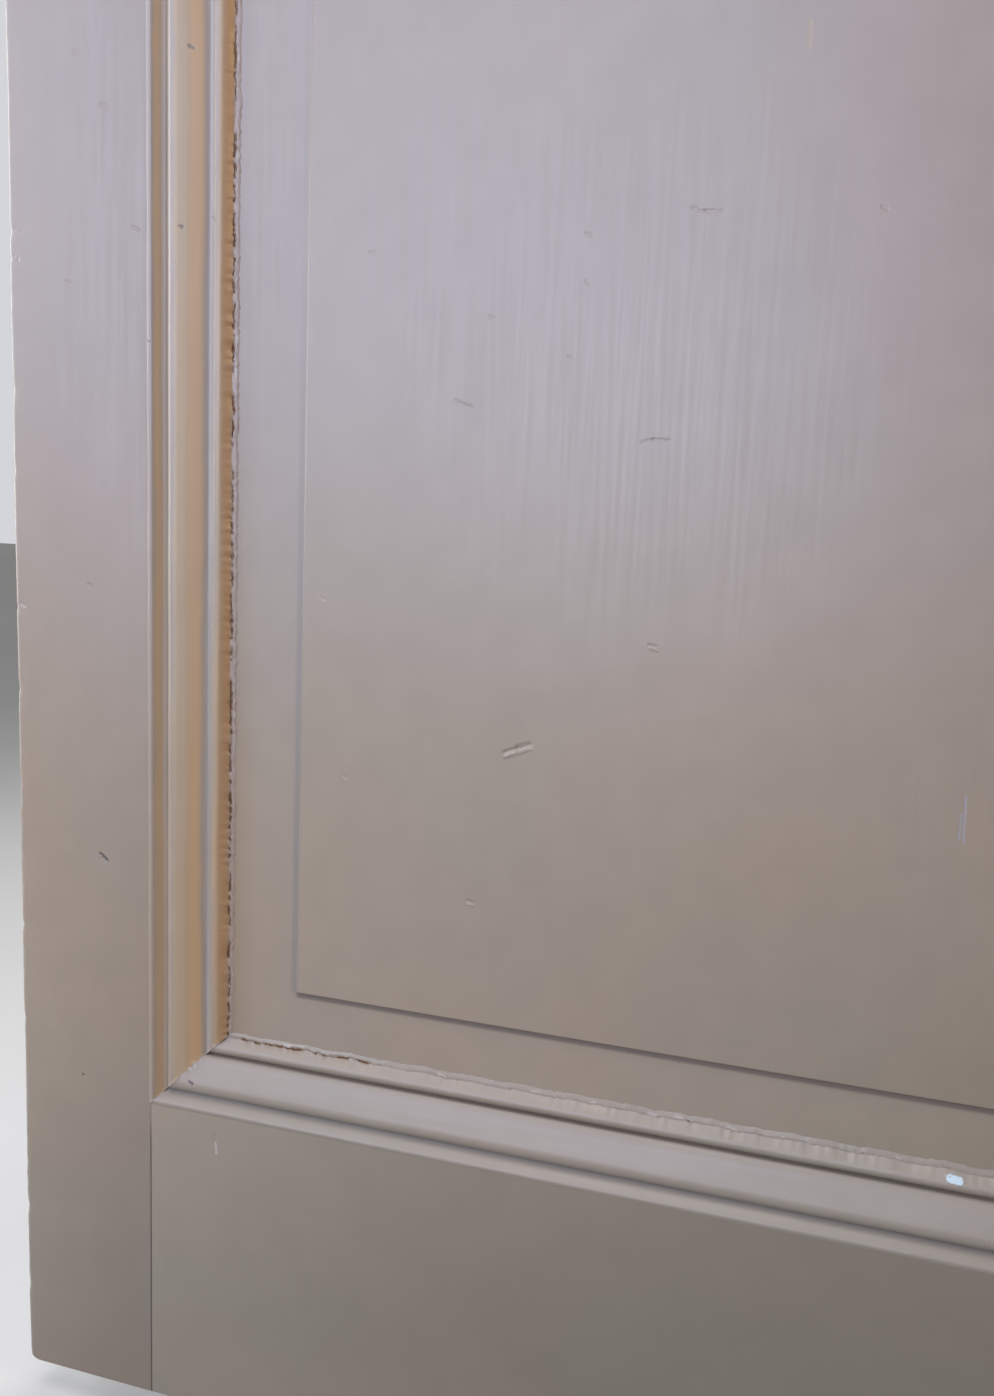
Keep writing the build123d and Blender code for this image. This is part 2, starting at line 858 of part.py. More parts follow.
def strike_screws(fit=0.0):
    """One screw at each end of the strike plate."""
    middle = (follower_z + cylinder_z) / 2
    end = strike_h / 2 - strike_screw_in
    places = [(-rebate_x, mid_y, middle - end), (-rebate_x, mid_y, middle + end)]
    return screws(places, (-1, 0, 0), screw_r, screw_head_r, screw_len, fit)


def joint_screws(fit=0.0):
    """Long screws down through the head into each jamb."""
    middle_y = (outer_y + stop_y) / 2
    places = [(side * (rebate_x + frame_x) / 2, middle_y, frame_top) for side in (-1, 1)]
    return screws(places, (0, 0, -1), joint_screw_r, joint_screw_head_r, joint_screw_len, fit)


def frame_pieces():
    """Threshold, head and jambs, cut where each meets the others."""
    sill = sill_blank()
    head = head_blank()
    pieces = {}
    for side, name in ((-1, "lock_jamb"), (1, "hinge_jamb")):
        foot, top = frame_tenons(side)
        jamb = jamb_blank(side) - sill_blank() - head_blank()
        jamb = cut(jamb + foot + top, fixing_holes(side) + [seal_kerf(side)])
        pieces[name] = cut(jamb, joint_screws(screw_fit))
        sill = sill - foot
        head = head - top
    head = cut(head, [head_kerf()] + joint_screws(screw_fit))
    pieces["threshold"] = sill
    pieces["frame_head"] = head
    pocket = [
        strike_plate(),
        *strike_screws(screw_fit),
        strike_holes(latch_out + pocket_end)[0],
        strike_holes(bolt_throw + pocket_end)[1],
    ]
    pieces["lock_jamb"] = cut(pieces["lock_jamb"], pocket)
    return pieces


def leaf_pieces():
    """Everything that swings as one, drawn shut."""
    wedges = all_wedges()
    pieces = rails()
    lock_stile = stile(-1)
    hinge_stile = stile(1)
    for piece in pieces.values():
        lock_stile = lock_stile - piece
        hinge_stile = hinge_stile - piece
    lock_stile = cut(lock_stile, wedges["lock"])
    hinge_stile = cut(hinge_stile, wedges["hinge"])
    room = block(
        (edge_x - past, edge_x + case_end + case_clear),
        (mid_y - case_t / 2 - case_clear, mid_y + case_t / 2 + case_clear),
        (lock_z - case_h / 2 - case_clear, lock_z + case_h / 2 + case_clear),
    )
    seat = block(
        (edge_x - past, edge_x + forend_t),
        (mid_y - forend_w / 2, mid_y + forend_w / 2),
        (lock_z - forend_h / 2, lock_z + forend_h / 2),
    )
    start = (spindle_x, outer_y - past, follower_z)
    spindle_hole = rod(start, (0, 1, 0), lever_r, leaf_t + 2 * past)
    outside = backplate_screws(screw_fit)
    inside = [to_inside(hole) for hole in outside]
    tools = [room, seat, spindle_hole, keyhole(outer_y - past, leaf_in_y + past, case_clear)]
    lock_stile = cut(lock_stile, tools + outside + inside + forend_screws(screw_fit))
    for middle in hinge_heights():
        tools = [flap_recess(-1, middle)] + flap_screws(-1, middle, screw_fit)
        hinge_stile = cut(hinge_stile, tools)
    pieces["lock_stile"] = lock_stile
    pieces["hinge_stile"] = hinge_stile
    pieces["tenon_wedges"] = wedges["lock"] + wedges["hinge"]
    for name, low, high in (("lower", lower_z, lock_rail_z), ("upper", upper_z, top_rail_z)):
        pieces[f"{name}_panel"] = panel(low, high)
        for side, length in mouldings(low, high).items():
            pieces[f"{name}_moulding_{side}_outdoor"] = length
            pieces[f"{name}_moulding_{side}_indoor"] = to_inside(length)
    return pieces


def lock_pieces():
    """Lock, handles and their fixings, drawn shut with the bolt back."""
    outside = backplate_screws()
    return {
        "lock_case": lock_case(),
        "lock_forend": lock_forend(),
        "forend_screws": forend_screws(),
        "lock_cylinder": lock_cylinder(),
        "latch": latch(),
        "deadbolt": deadbolt(),
        "follower": follower(),
        "spindle": spindle(),
        "thumbturn": thumbturn(),
        "cylinder_cam": thumbturn_cam(),
        "outdoor_lever": lever(),
        "indoor_lever": to_inside(lever()),
        "outdoor_backplate": backplate(),
        "indoor_backplate": to_inside(backplate()),
        "backplate_screws": outside + [to_inside(piece) for piece in outside],
    }


def hinge_pieces():
    """Pieces of the hinges: those that stay on the jamb and those that swing."""
    fixed = {"jamb_hinge_screws": []}
    swinging = {"leaf_hinge_screws": []}
    for number, middle in enumerate(hinge_heights(), 1):
        fixed[f"hinge_{number}_jamb_flap"] = hinge_flap(1, middle)
        fixed[f"hinge_{number}_pin"] = hinge_pin(middle)
        fixed["jamb_hinge_screws"] += flap_screws(1, middle)
        swinging[f"hinge_{number}_leaf_flap"] = hinge_flap(-1, middle)
        swinging["leaf_hinge_screws"] += flap_screws(-1, middle)
    return fixed, swinging


def whole_door():
    """Every piece by name, with the leaf standing open."""
    frame = frame_pieces()
    for middle in hinge_heights():
        tools = [flap_recess(1, middle)] + flap_screws(1, middle, screw_fit)
        frame["hinge_jamb"] = cut(frame["hinge_jamb"], tools)
    fixed, swinging = hinge_pieces()
    frame.update(fixed)
    frame["weather_seals"] = weather_seals()
    windows = strike_holes(strike_t + past)
    frame["strike_plate"] = cut(strike_plate(), windows + strike_screws(screw_fit))
    frame["strike_screws"] = strike_screws()
    frame["frame_joint_screws"] = joint_screws()
    leaf = leaf_pieces()
    leaf.update(swinging)
    leaf.update(lock_pieces())
    for name, piece in leaf.items():
        group = piece if isinstance(piece, list) else [piece]
        frame[name] = [opened(one) for one in group]
    return frame


def main():
    os.makedirs("parts", exist_ok=True)
    for name, piece in whole_door().items():
        group = piece if isinstance(piece, list) else [piece]
        solids = [solid for one in group for solid in one.solids()]
        shape = solids[0] if len(solids) == 1 else Compound(children=solids)
        shape.label = name
        export_step(shape, f"parts/{name}.step")


main()
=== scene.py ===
from math import atan2, radians

import bmesh
import bpy
from mathutils import Matrix, Vector, noise


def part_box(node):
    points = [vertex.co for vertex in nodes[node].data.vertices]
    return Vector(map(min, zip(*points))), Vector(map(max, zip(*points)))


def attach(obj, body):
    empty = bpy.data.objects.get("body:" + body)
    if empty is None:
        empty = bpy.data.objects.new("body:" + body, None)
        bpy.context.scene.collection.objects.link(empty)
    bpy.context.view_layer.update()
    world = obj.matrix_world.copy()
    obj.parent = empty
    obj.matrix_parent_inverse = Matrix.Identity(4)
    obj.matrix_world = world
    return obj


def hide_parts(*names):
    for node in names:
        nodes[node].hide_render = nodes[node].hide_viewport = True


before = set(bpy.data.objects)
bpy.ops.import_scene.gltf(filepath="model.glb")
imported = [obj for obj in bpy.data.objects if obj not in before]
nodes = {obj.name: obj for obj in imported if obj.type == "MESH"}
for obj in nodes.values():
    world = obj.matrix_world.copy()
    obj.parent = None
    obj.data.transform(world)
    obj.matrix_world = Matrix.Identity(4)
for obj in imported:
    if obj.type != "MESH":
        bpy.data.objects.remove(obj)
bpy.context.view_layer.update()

# %% [markdown]
# # A panelled front door
#
# This lesson dresses a timber front door in Blender. The leaf stands open, so its lower
# corner with the painted panel is what the camera looks at.

# %% [markdown]
# ## A leaf drawn flat
#
# A joiner marks out a door flat on the bench: across from the free edge, in from the face,
# and up from the foot, in millimetres. The same three numbers are used here. One matrix
# then turns a finished piece into the open leaf, so that its object can stay at the origin.

# %% The matrix from the bench to the open leaf
MM_PER_M = 1000
ACROSS, INWARD, UP = range(3)


def to_mm(metres):
    """Metres as millimetres."""
    return metres * MM_PER_M


stile_low, stile_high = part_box("lock_stile")
bench = (
    Matrix.Translation((stile_high.x, stile_low.y, stile_low.z))
    @ Matrix.Rotation(radians(90), 4, "Z")
    @ Matrix.Scale(1 / MM_PER_M, 4)
)
leaf_t = to_mm(stile_high.x - stile_low.x)
leaf_h = to_mm(stile_high.z - stile_low.z)
stile_w = to_mm(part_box("lower_moulding_lock_side_outdoor")[0].y - stile_low.y)
opening_low = to_mm(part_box("lower_moulding_bottom_outdoor")[0].z - stile_low.z)
opening_high = to_mm(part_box("lower_moulding_top_outdoor")[1].z - stile_low.z)
leaf_w = to_mm(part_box("hinge_stile")[1].y - stile_low.y)
opening_end = leaf_w - stile_w
print("Leaf", round(leaf_w), "by", round(leaf_h), "by", round(leaf_t), "mm, stile", round(stile_w))


def on_bench(across, inward, up):
    """A point of the leaf, given in millimetres, as it stands in the open leaf."""
    return bench @ Vector((across, inward, up))


# %% [markdown]
# ## Small helpers for shader nodes
#
# A material is a tree of nodes. Short helpers keep the trees readable: one adds any node
# and feeds its sockets, and the others add the sums, blends, ranges and patterns used most.

# %% Helpers that add nodes
def feed(tree, node, feeds):
    """Feeds the sockets of a node with values or with other sockets."""
    for key, value in feeds.items():
        if isinstance(value, bpy.types.NodeSocket):
            tree.links.new(value, node.inputs[key])
        else:
            node.inputs[key].default_value = value


def put(tree, kind, feeds=None, **settings):
    """Adds a node, sets it up, and feeds its sockets."""
    node = tree.nodes.new(kind)
    for key, value in settings.items():
        setattr(node, key, value)
    feed(tree, node, feeds or {})
    return node


def calc(tree, operation, a, b=0.0, clamp=False):
    """One sum on two numbers."""
    node = put(tree, "ShaderNodeMath", {0: a, 1: b}, operation=operation, use_clamp=clamp)
    return node.outputs[0]


def times(tree, a, b):
    """The product of two numbers."""
    return calc(tree, "MULTIPLY", a, b)


def blend(tree, amount, a, b, how="MIX"):
    """Mixes two colours by an amount from 0 to 1."""
    feeds = {0: amount, 6: a, 7: b}
    return put(tree, "ShaderNodeMix", feeds, data_type="RGBA", blend_type=how).outputs[2]


def fade(tree, value, start, end, low=0.0, high=1.0):
    """Moves a number smoothly from low at start to high at end."""
    feeds = {"Value": value, "From Min": start, "From Max": end, "To Min": low, "To Max": high}
    return put(tree, "ShaderNodeMapRange", feeds, interpolation_type="SMOOTHSTEP").outputs[0]


def speckle(tree, place, scale, detail=2.0, roughness=0.5):
    """A cloud pattern from 0 to 1."""
    feeds = {"Vector": place, "Scale": scale, "Detail": detail, "Roughness": roughness}
    return put(tree, "ShaderNodeTexNoise", feeds).outputs["Fac"]


def stretch(tree, place, factors):
    """Scales the place by its own factor on each axis, which draws a pattern out."""
    feeds = {0: place, 1: factors}
    return put(tree, "ShaderNodeVectorMath", feeds, operation="MULTIPLY").outputs[0]


def new_group(name, inputs, outputs):
    """A node group that takes a place and named inputs. Gives its tree, inputs and outputs."""
    tree = bpy.data.node_groups.new(name, "ShaderNodeTree")
    tree.interface.new_socket("Vector", in_out="INPUT", socket_type="NodeSocketVector")
    for title, kind, value in inputs:
        socket = tree.interface.new_socket(title, in_out="INPUT", socket_type="NodeSocket" + kind)
        socket.default_value = value
    for title, kind in outputs:
        tree.interface.new_socket(title, in_out="OUTPUT", socket_type="NodeSocket" + kind)
    start = tree.nodes.new("NodeGroupInput")
    end = tree.nodes.new("NodeGroupOutput")
    return tree, start.outputs, end.inputs


def use(tree, group, feeds):
    """Places a node group in a material."""
    return put(tree, "ShaderNodeGroup", feeds, node_tree=group).outputs


print("Node helpers are ready")

# %% [markdown]
# ## Brushed gloss paint
#
# The door has many coats of taupe paint. Close up, the film is never flat: the bristles
# leave fine furrows along the stroke, the coat sags into long soft waves, and its colour
# drifts a little from place to place. Lower down the colour is painted warmer, as painted
# warm light from the ground, and near the foot darker, as painted shade. The group gives all
# of that for any paint colour.
# Its Stroke input is small along the brush and large across it, so that the same group
# serves an upright stile and a level rail.

# %% The paint film as a node group
tree, given, result = new_group(
    "Brushed paint film",
    [
        ("Paint", "Color", (0.3, 0.25, 0.22, 1)),
        ("Stroke", "Vector", (300, 300, 12)),
        ("Drift", "Float", 1.0),
    ],
    [("Color", "Color"), ("Roughness", "Float"), ("Height", "Float")],
)
place = given["Vector"]
ground_light_tint = (1.10, 1.065, 0.92, 1)
foot_shade_tint = (0.80, 0.82, 0.82, 1)
cloud = fade(tree, speckle(tree, place, 3.2), 0.36, 0.64)
warm = blend(tree, 1.0, given["Paint"], (1.035, 0.985, 0.975, 1), "MULTIPLY")
cool = blend(tree, 1.0, given["Paint"], (0.985, 1.0, 1.015, 1), "MULTIPLY")
drift = times(tree, cloud, given["Drift"])
mottle = fade(tree, speckle(tree, place, 38.0), 0.3, 0.7, 0.975, 1.02)
film_color = blend(tree, drift, warm, cool)
film_color = blend(tree, 1.0, film_color, mottle, "MULTIPLY")
above = put(tree, "ShaderNodeSeparateXYZ", {0: place}).outputs["Z"]
# Lower down the colour is painted warmer, as painted warm light from the ground, and near the foot
# darker, as painted shade.
for start, end, tint in ((0.80, 0.45, ground_light_tint), (0.34, 0.06, foot_shade_tint)):
    amount = fade(tree, above, start, end)
    film_color = blend(tree, amount, film_color, tint, "MULTIPLY")
furrows = speckle(tree, stretch(tree, place, given["Stroke"]), 1.0, 2.0, 0.6)
waves = speckle(tree, place, 17.0, 1.0)
peel = speckle(tree, place, 420.0, 1.0)
relief = times(tree, furrows, 0.036)
for pattern, height in ((waves, 0.55), (peel, 0.012)):
    relief = calc(tree, "ADD", relief, times(tree, pattern, height))
tree.links.new(film_color, result["Color"])
tree.links.new(fade(tree, furrows, 0.2, 0.8, 0.36, 0.46), result["Roughness"])
tree.links.new(relief, result["Height"])
paint_film = tree
print("Group:", paint_film.name)

# %% [markdown]
# ## Dents and scratches
#
# A mark is a short furrow with rounded ends. The group measures how far a place is from the
# line between the two ends of the mark. It gives 1 in the middle of the furrow and 0 outside
# it, in metres on the object itself, so a dent stays put from any side. A small wobble of
# the place keeps the rims uneven. It is worked out once for all the marks of a material,
# because noise is slow.

# %% A mark as a node group
tree, given, result = new_group(
    "Dent or scratch",
    [
        ("Start", "Vector", (0, 0, 0)),
        ("End", "Vector", (0, 0, 0.01)),
        ("Width", "Float", 0.001),
    ],
    [("Mask", "Float")],
)


def vector_sum(tree, operation, a, b):
    """One sum on two vectors."""
    node = put(tree, "ShaderNodeVectorMath", {0: a, 1: b}, operation=operation)
    return node.outputs["Value"] if operation == "DOT_PRODUCT" else node.outputs["Vector"]


def unevenly(tree, place):
    """The place after a small wobble, which keeps the rims of marks uneven."""
    wobble = put(tree, "ShaderNodeTexNoise", {"Vector": place, "Scale": 700.0}).outputs["Color"]
    wobble = vector_sum(tree, "SUBTRACT", wobble, (0.5, 0.5, 0.5))
    return vector_sum(tree, "ADD", place, stretch(tree, wobble, (0.0022, 0.0022, 0.0022)))


from_start = vector_sum(tree, "SUBTRACT", given["Vector"], given["Start"])
line = vector_sum(tree, "SUBTRACT", given["End"], given["Start"])
reached = vector_sum(tree, "DOT_PRODUCT", from_start, line)
along = calc(tree, "DIVIDE", reached, vector_sum(tree, "DOT_PRODUCT", line, line), clamp=True)
nearest = put(tree, "ShaderNodeVectorMath", {0: line, "Scale": along}, operation="SCALE")
offset = vector_sum(tree, "SUBTRACT", from_start, nearest.outputs["Vector"])
distance = put(tree, "ShaderNodeVectorMath", {0: offset}, operation="LENGTH").outputs["Value"]
tree.links.new(fade(tree, distance, 0.0, given["Width"], 1.0, 0.0), result["Mask"])
mark_group = tree
print("Group:", mark_group.name)

# %% [markdown]
# ## Dirt at the foot and rubbed arrises
#
# Rain splashes earth against the foot of a door, and shoes and hands rub the paint thin on
# its arrises. Both are a band whose edge a cloud pattern breaks up, so one group does both:
# it takes a distance, and how far the band reaches.

# %% A broken band as a node group
tree, given, result = new_group(
    "Broken band",
    [
        ("Distance", "Float", 0.0),
        ("Reach", "Float", 0.01),
        ("Scale", "Float", 60.0),
        ("Fill", "Float", 0.5),
    ],
    [("Mask", "Float")],
)
share = calc(tree, "DIVIDE", given["Distance"], given["Reach"])
near = fade(tree, share, 0.0, 1.0, 1.0, 0.0)
patchy = speckle(tree, given["Vector"], given["Scale"], 3.0, 0.6)
level = calc(tree, "SUBTRACT", 1.0, given["Fill"])
patchy = fade(tree, calc(tree, "SUBTRACT", patchy, level), -0.16, 0.16)
tree.links.new(calc(tree, "MULTIPLY", near, patchy, clamp=True), result["Mask"])
band_group = tree
print("Group:", band_group.name)

# %% [markdown]
# ## From paint film to material
#
# Every painted piece gets the same film, with its own stroke direction and its own marks.
# The marks are listed by where they lie on the bench, how wide they are and how deep. A
# mark may show a second colour: the paint beneath where the top coat has gone, or a painted
# highlight.

# %% A painted material with its marks
paint = (0.285, 0.236, 0.204, 1)
# A cooler lilac copy of the paint for the bottom moulding: a painted reflection of the sky, as on
# its upward-facing rounds.
sky_tinted_paint = (0.268, 0.228, 0.205, 1)
old_paint = (0.42, 0.40, 0.37, 1)
earth = (0.25, 0.18, 0.135, 1)
# Dark brown for painted shade: in the step below the field and in the quirks of the bottom
# moulding.
shade_brown = (0.095, 0.066, 0.050, 1)
crack_brown = (0.17, 0.08, 0.032, 1)
torn_paint = (0.40, 0.33, 0.29, 1)
UPRIGHT = (330, 330, 9)
LEVEL = (330, 9, 330)
PAINT_IOR = 1.75
MARK_REACH = 0.0014
MARK_PRESS = 0.65


def new_material(name):
    """A material with one shader, and the place on the object to work from."""
    material = bpy.data.materials.new(name)
    material.use_nodes = True
    tree = material.node_tree
    shader = tree.nodes["Principled BSDF"]
    place = put(tree, "ShaderNodeTexCoord").outputs["Object"]
    return material, tree, shader, place


def raised(tree, height, distance):
    """The normal of a surface that is raised by a height."""
    feeds = {"Height": height, "Distance": distance}
    return put(tree, "ShaderNodeBump", feeds).outputs["Normal"]


def marks_at(inward, rows):
    """Marks that all lie at one distance inwards from the leaf's face."""
    return [(start, end, inward, *rest) for start, end, *rest in rows]


def add_marks(tree, place, color, relief, marks):
    """Presses marks in: start, end, inward, width, depth, and a second colour, if any: the paint
    beneath, or a painted highlight.
    """
    spot = unevenly(tree, place) if marks else place
    for start, end, inward, width, depth, *bared_or_highlight in marks:
        feeds = {
            "Vector": spot,
            "Start": on_bench(start[0], inward, start[1]),
            "End": on_bench(end[0], inward, end[1]),
            "Width": width * MARK_REACH,
        }
        mask = use(tree, mark_group, feeds)["Mask"]
        relief = calc(tree, "ADD", relief, times(tree, mask, -depth * MARK_PRESS))
        if bared_or_highlight:
            color = blend(tree, fade(tree, mask, 0.25, 0.55), color, bared_or_highlight[0])
    return color, relief


def painted(name, stroke, marks=(), wear=None, base=paint):
    """Brushed paint with marks. The wear function may change the colour and the relief."""
    material, tree, shader, place = new_material(name)
    feeds = {"Vector": place, "Paint": base, "Stroke": stroke}
    film = use(tree, paint_film, feeds)
    color, relief = film["Color"], film["Height"]
    if wear:
        color, relief = wear(tree, place, color, relief)
    color, relief = add_marks(tree, place, color, relief, marks)
    bump = raised(tree, relief, 0.001)
    feeds = {"Base Color": color, "Roughness": film["Roughness"], "Normal": bump, "IOR": PAINT_IOR}
    feed(tree, shader, feeds)
    return material


def band(tree, value, low, high, soft):
    """1 between two values, with soft ends."""
    rise = fade(tree, value, low - soft, low + soft)
    fall = fade(tree, value, high - soft, high + soft, 1.0, 0.0)
    return times(tree, rise, fall)


def axis_of(tree, place, axis):
    """One coordinate of the place."""
    return put(tree, "ShaderNodeSeparateXYZ", {0: place}).outputs[axis]


def past(tree, place, axis, start):
    """How far the place lies past a value on one axis."""
    return calc(tree, "SUBTRACT", axis_of(tree, place, axis), start)


print("Paint is", paint[:3])

# %% [markdown]
# ## The stile's finish
#
# The lock stile is the upright at the free edge of the door. Its arris is knocked and
# rubbed, earth sticks to the foot, and small dents lie over its face. Dirt also fills the
# hairline joint with the rail.

# %% Stile paint
JOINT_DIRT_TOP = (0.212, 0.236)
dark = (0.075, 0.060, 0.050, 1)
pale = (0.37, 0.33, 0.31, 1)
stile_marks = marks_at(0, [
    ((69, 861), (73.5, 859), 2, 0.45),
    ((64.4, 388), (69.5, 384), 1.3, 0.5, dark),
    ((64.8, 384.5), (66.5, 382.5), 1.3, 0.4),
    ((50, 892), (53, 891), 1.6, 0.35),
    ((91, 789), (96, 786.5), 1.3, 0.35),
    ((41.5, 757), (45.5, 755.5), 1.5, 0.3),
    ((56.5, 567.5), (59, 566), 1.3, 0.3),
    ((48, 228.8), (48.8, 228.2), 1, 0.3, dark),
    ((26, 203), (28, 202.5), 1.5, 0.25),
    ((5, 551), (7, 550), 1.3, 0.3, pale),
    ((4.5, 789), (9, 787.5), 1.4, 0.4),
    ((3, 772.5), (7, 771), 1.3, 0.35),
])


def joint_line(tree, place, color):
    """Dirt in the hairline joint of stile and rail, below the moulding."""
    joint = calc(tree, "ABSOLUTE", past(tree, place, "Y", stile_low.y + stile_w / MM_PER_M))
    feeds = {"Vector": place, "Distance": joint, "Reach": 0.0011, "Scale": 300.0, "Fill": 0.75}
    line = use(tree, band_group, feeds)["Mask"]
    below = fade(tree, axis_of(tree, place, "Z"), *JOINT_DIRT_TOP, 1.0, 0.0)
    return blend(tree, times(tree, line, below), color, dark)


def splashes(tree, place, color, strength, reach, scale, fill):
    """Earth splashed up from the foot of the leaf."""
    foot = past(tree, place, "Z", stile_low.z)
    feeds = {"Vector": place, "Distance": foot, "Reach": reach, "Scale": scale, "Fill": fill}
    dirty = use(tree, band_group, feeds)["Mask"]
    return blend(tree, times(tree, dirty, strength), color, earth)


def stile_wear(tree, place, color, relief):
    """Rubbed paint at the free edge, earth at the foot and dirt in the joint."""
    from_edge = past(tree, place, "Y", stile_low.y)
    outdoors = calc(tree, "SUBTRACT", stile_high.x, axis_of(tree, place, "X"))
    indoors = past(tree, place, "X", stile_low.x)
    from_face = calc(tree, "MINIMUM", outdoors, indoors)
    arris = put(tree, "ShaderNodeCombineXYZ", {"X": from_edge, "Y": from_face}).outputs[0]
    arris = put(tree, "ShaderNodeVectorMath", {0: arris}, operation="LENGTH").outputs["Value"]
    feeds = {"Vector": place, "Distance": arris, "Reach": 0.0045, "Scale": 130.0, "Fill": 0.5}
    rubbed = use(tree, band_group, feeds)["Mask"]
    color = blend(tree, times(tree, rubbed, 0.55), color, old_paint)
    color = splashes(tree, place, color, 0.55, reach=0.075, scale=22.0, fill=0.62)
    return joint_line(tree, place, color), relief


stile_paint = painted("Taupe paint on the stile", UPRIGHT, stile_marks, stile_wear)
print("Material:", stile_paint.name, "with", len(stile_marks), "marks")

# %% [markdown]
# ## The rail's finish
#
# On a rail the brush goes from side to side. The bottom rail takes the splashes, so its
# dirt reaches higher, and its outdoor face is painted darker, more so towards the hinges,
# as painted shade.

# %% Rail paint
# Painted shade for the rail's outdoor face: lighter near the free edge, darker towards the hinges.
near_edge_shade = (0.87, 0.87, 0.87, 1)
hinge_side_shade = (0.76, 0.77, 0.75, 1)
rail_marks = marks_at(0, [
    ((151.3, 204.5), (151.6, 201.5), 1.2, 0.3),
    ((152, 198), (152.3, 194), 1.2, -0.35, pale),
    ((152.4, 192.5), (152.6, 191), 1.3, -0.35, pale),
    ((167, 153.5), (170.5, 152.5), 1.5, 0.3),
    ((299.5, 148.5), (302.5, 147), 1.6, 0.35),
    ((286.5, 93.5), (289.5, 92.5), 1.4, 0.3),
    ((115.5, 72), (117, 70.5), 1.2, 0.25),
])


def foot_dirt_and_shade(tree, place, color, relief):
    """Painted shade on the outdoor face, darker towards the hinges, then earth at the foot and dirt
    in the joint.
    """
    away = fade(tree, axis_of(tree, place, "Y"), stile_low.y + 0.10, stile_low.y + 0.40)
    shade_tint = blend(tree, away, near_edge_shade, hinge_side_shade)
    outdoors = fade(tree, axis_of(tree, place, "X"), stile_high.x - 0.012, stile_high.x - 0.002)
    color = blend(tree, outdoors, color, shade_tint, "MULTIPLY")
    color = splashes(tree, place, color, 0.5, reach=0.10, scale=16.0, fill=0.6)
    return joint_line(tree, place, color), relief


rail_paint = painted("Taupe paint on the bottom rail", LEVEL, rail_marks, foot_dirt_and_shade)
print("Material:", rail_paint.name, "with", len(rail_marks), "marks")

# %% [markdown]
# ## The panel's finish
#
# The panel is the calmest and largest surface, so every knock shows. The deepest mark is a
# slanting dent below the middle, with a raised rim that catches the light. The step below
# the field holds a painted shadow, and a band of painted shade runs beside the field. Low
# down, the margin beside it is warmer in colour. Towards the hinges and the foot the panel
# is painted darker, as painted shade.

# %% Panel paint
FIELD_SIDE, FIELD_END = 102, 90
field_in = to_mm(stile_high.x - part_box("lower_panel")[1].x)
panel_marks = marks_at(field_in, [
    ((434, 793.5), (441, 791.2), 1.1, 0.35),
    ((441, 791.2), (450.5, 791.3), 1.1, 0.35),
    ((375.5, 781), (379, 780), 1.2, 0.3),
    ((376.8, 755.5), (378, 754), 1.2, 0.3),
    ((320.5, 736.5), (323, 735), 1.3, 0.3),
    ((369, 714.5), (370.2, 713.2), 1.2, 0.25),
    ((245, 773.2), (248, 772.2), 1.2, 0.3),
    ((301.3, 688.3), (311.3, 685), 1.5, 0.35),
    ((413.6, 667.7), (420, 669.5), 1.2, 0.25),
    ((420, 669.5), (428.8, 669.3), 1.2, 0.3),
    ((217.5, 568.3), (219.5, 567.2), 1.2, 0.3),
    ((424.5, 553.8), (428.3, 553), 1.2, 0.4),
    ((424.8, 551.9), (428.6, 551), 1.2, -0.35),
    ((234.5, 457.6), (237, 456), 1.3, 0.35),
    ((340, 482.4), (349, 486.2), 1.5, 0.7),
    ((349, 486.2), (355.5, 488.7), 2.2, 0.9),
    ((340.5, 480), (355.5, 486.2), 1.6, -0.5),
    ((320.5, 387), (323.5, 386.2), 1.6, 0.45),
    ((320.8, 385), (323.2, 384.4), 1.3, -0.35),
    ((602.2, 484.5), (603, 459), 1, 0.12, (0.32, 0.285, 0.285, 1)),
    ((600.8, 474), (600.5, 460), 0.8, 0.10, (0.31, 0.28, 0.28, 1)),
    ((533.5, 791), (536, 790), 1.3, 0.3),
    ((489.5, 884), (490, 872), 1.9, 0.1, (0.32, 0.25, 0.185, 1)),
])
# A warmer tint for the margin low down, the colour of the painted shade beside the field, and a
# tint of painted shade for the lower right.
margin_warm_tint = (1.0, 0.93, 0.82, 1)
step_shade_paint = (0.215, 0.187, 0.168, 1)
low_right_shade_tint = (0.83, 0.82, 0.76, 1)
field_from = (
    stile_low.y + (stile_w + FIELD_SIDE) / MM_PER_M,
    stile_low.z + (opening_low + FIELD_END) / MM_PER_M,
)


def painted_step_shade(tree, place, color, relief):
    """Painted shadow in the step below the field, painted shade beside it, a warmer margin low
    down, and painted shade towards the hinges and the foot.
    """
    across = past(tree, place, "Y", field_from[0])
    up = past(tree, place, "Z", field_from[1])
    # A painted shadow below the field's step, and a band of painted shade beside its side.
    below = band(tree, up, -0.0034, 0.0010, 0.0013)
    below = times(tree, below, fade(tree, across, -0.003, 0.002))
    beside = band(tree, across, -0.0042, 0.0016, 0.0014)
    beside = times(tree, beside, fade(tree, up, -0.003, 0.002))
    # Low down near the moulding the margin is warmer in colour.
    near_foot = fade(tree, across, -0.046, -0.026, 1.0, 0.0)
    low_down = fade(tree, axis_of(tree, place, "Z"), 0.95, 0.45)
    color = blend(tree, times(tree, near_foot, low_down), color, margin_warm_tint, "MULTIPLY")
    beside = times(tree, beside, fade(tree, low_down, 0, 1, 0.2, 0.8))
    color = blend(tree, beside, color, step_shade_paint)
    # Painted shade: darker towards the hinges and lower down.
    low_right_shade = fade(tree, across, 0.15, 0.55)
    low_right_shade = times(tree, low_right_shade, fade(tree, axis_of(tree, place, "Z"), 0.47, 0.26))
    color = blend(tree, low_right_shade, color, low_right_shade_tint, "MULTIPLY")
    return blend(tree, times(tree, below, 0.78), color, shade_brown), relief


panel_paint = painted("Taupe paint on the panel", UPRIGHT, panel_marks, painted_step_shade)
print("Material:", panel_paint.name, "with", len(panel_marks), "marks")
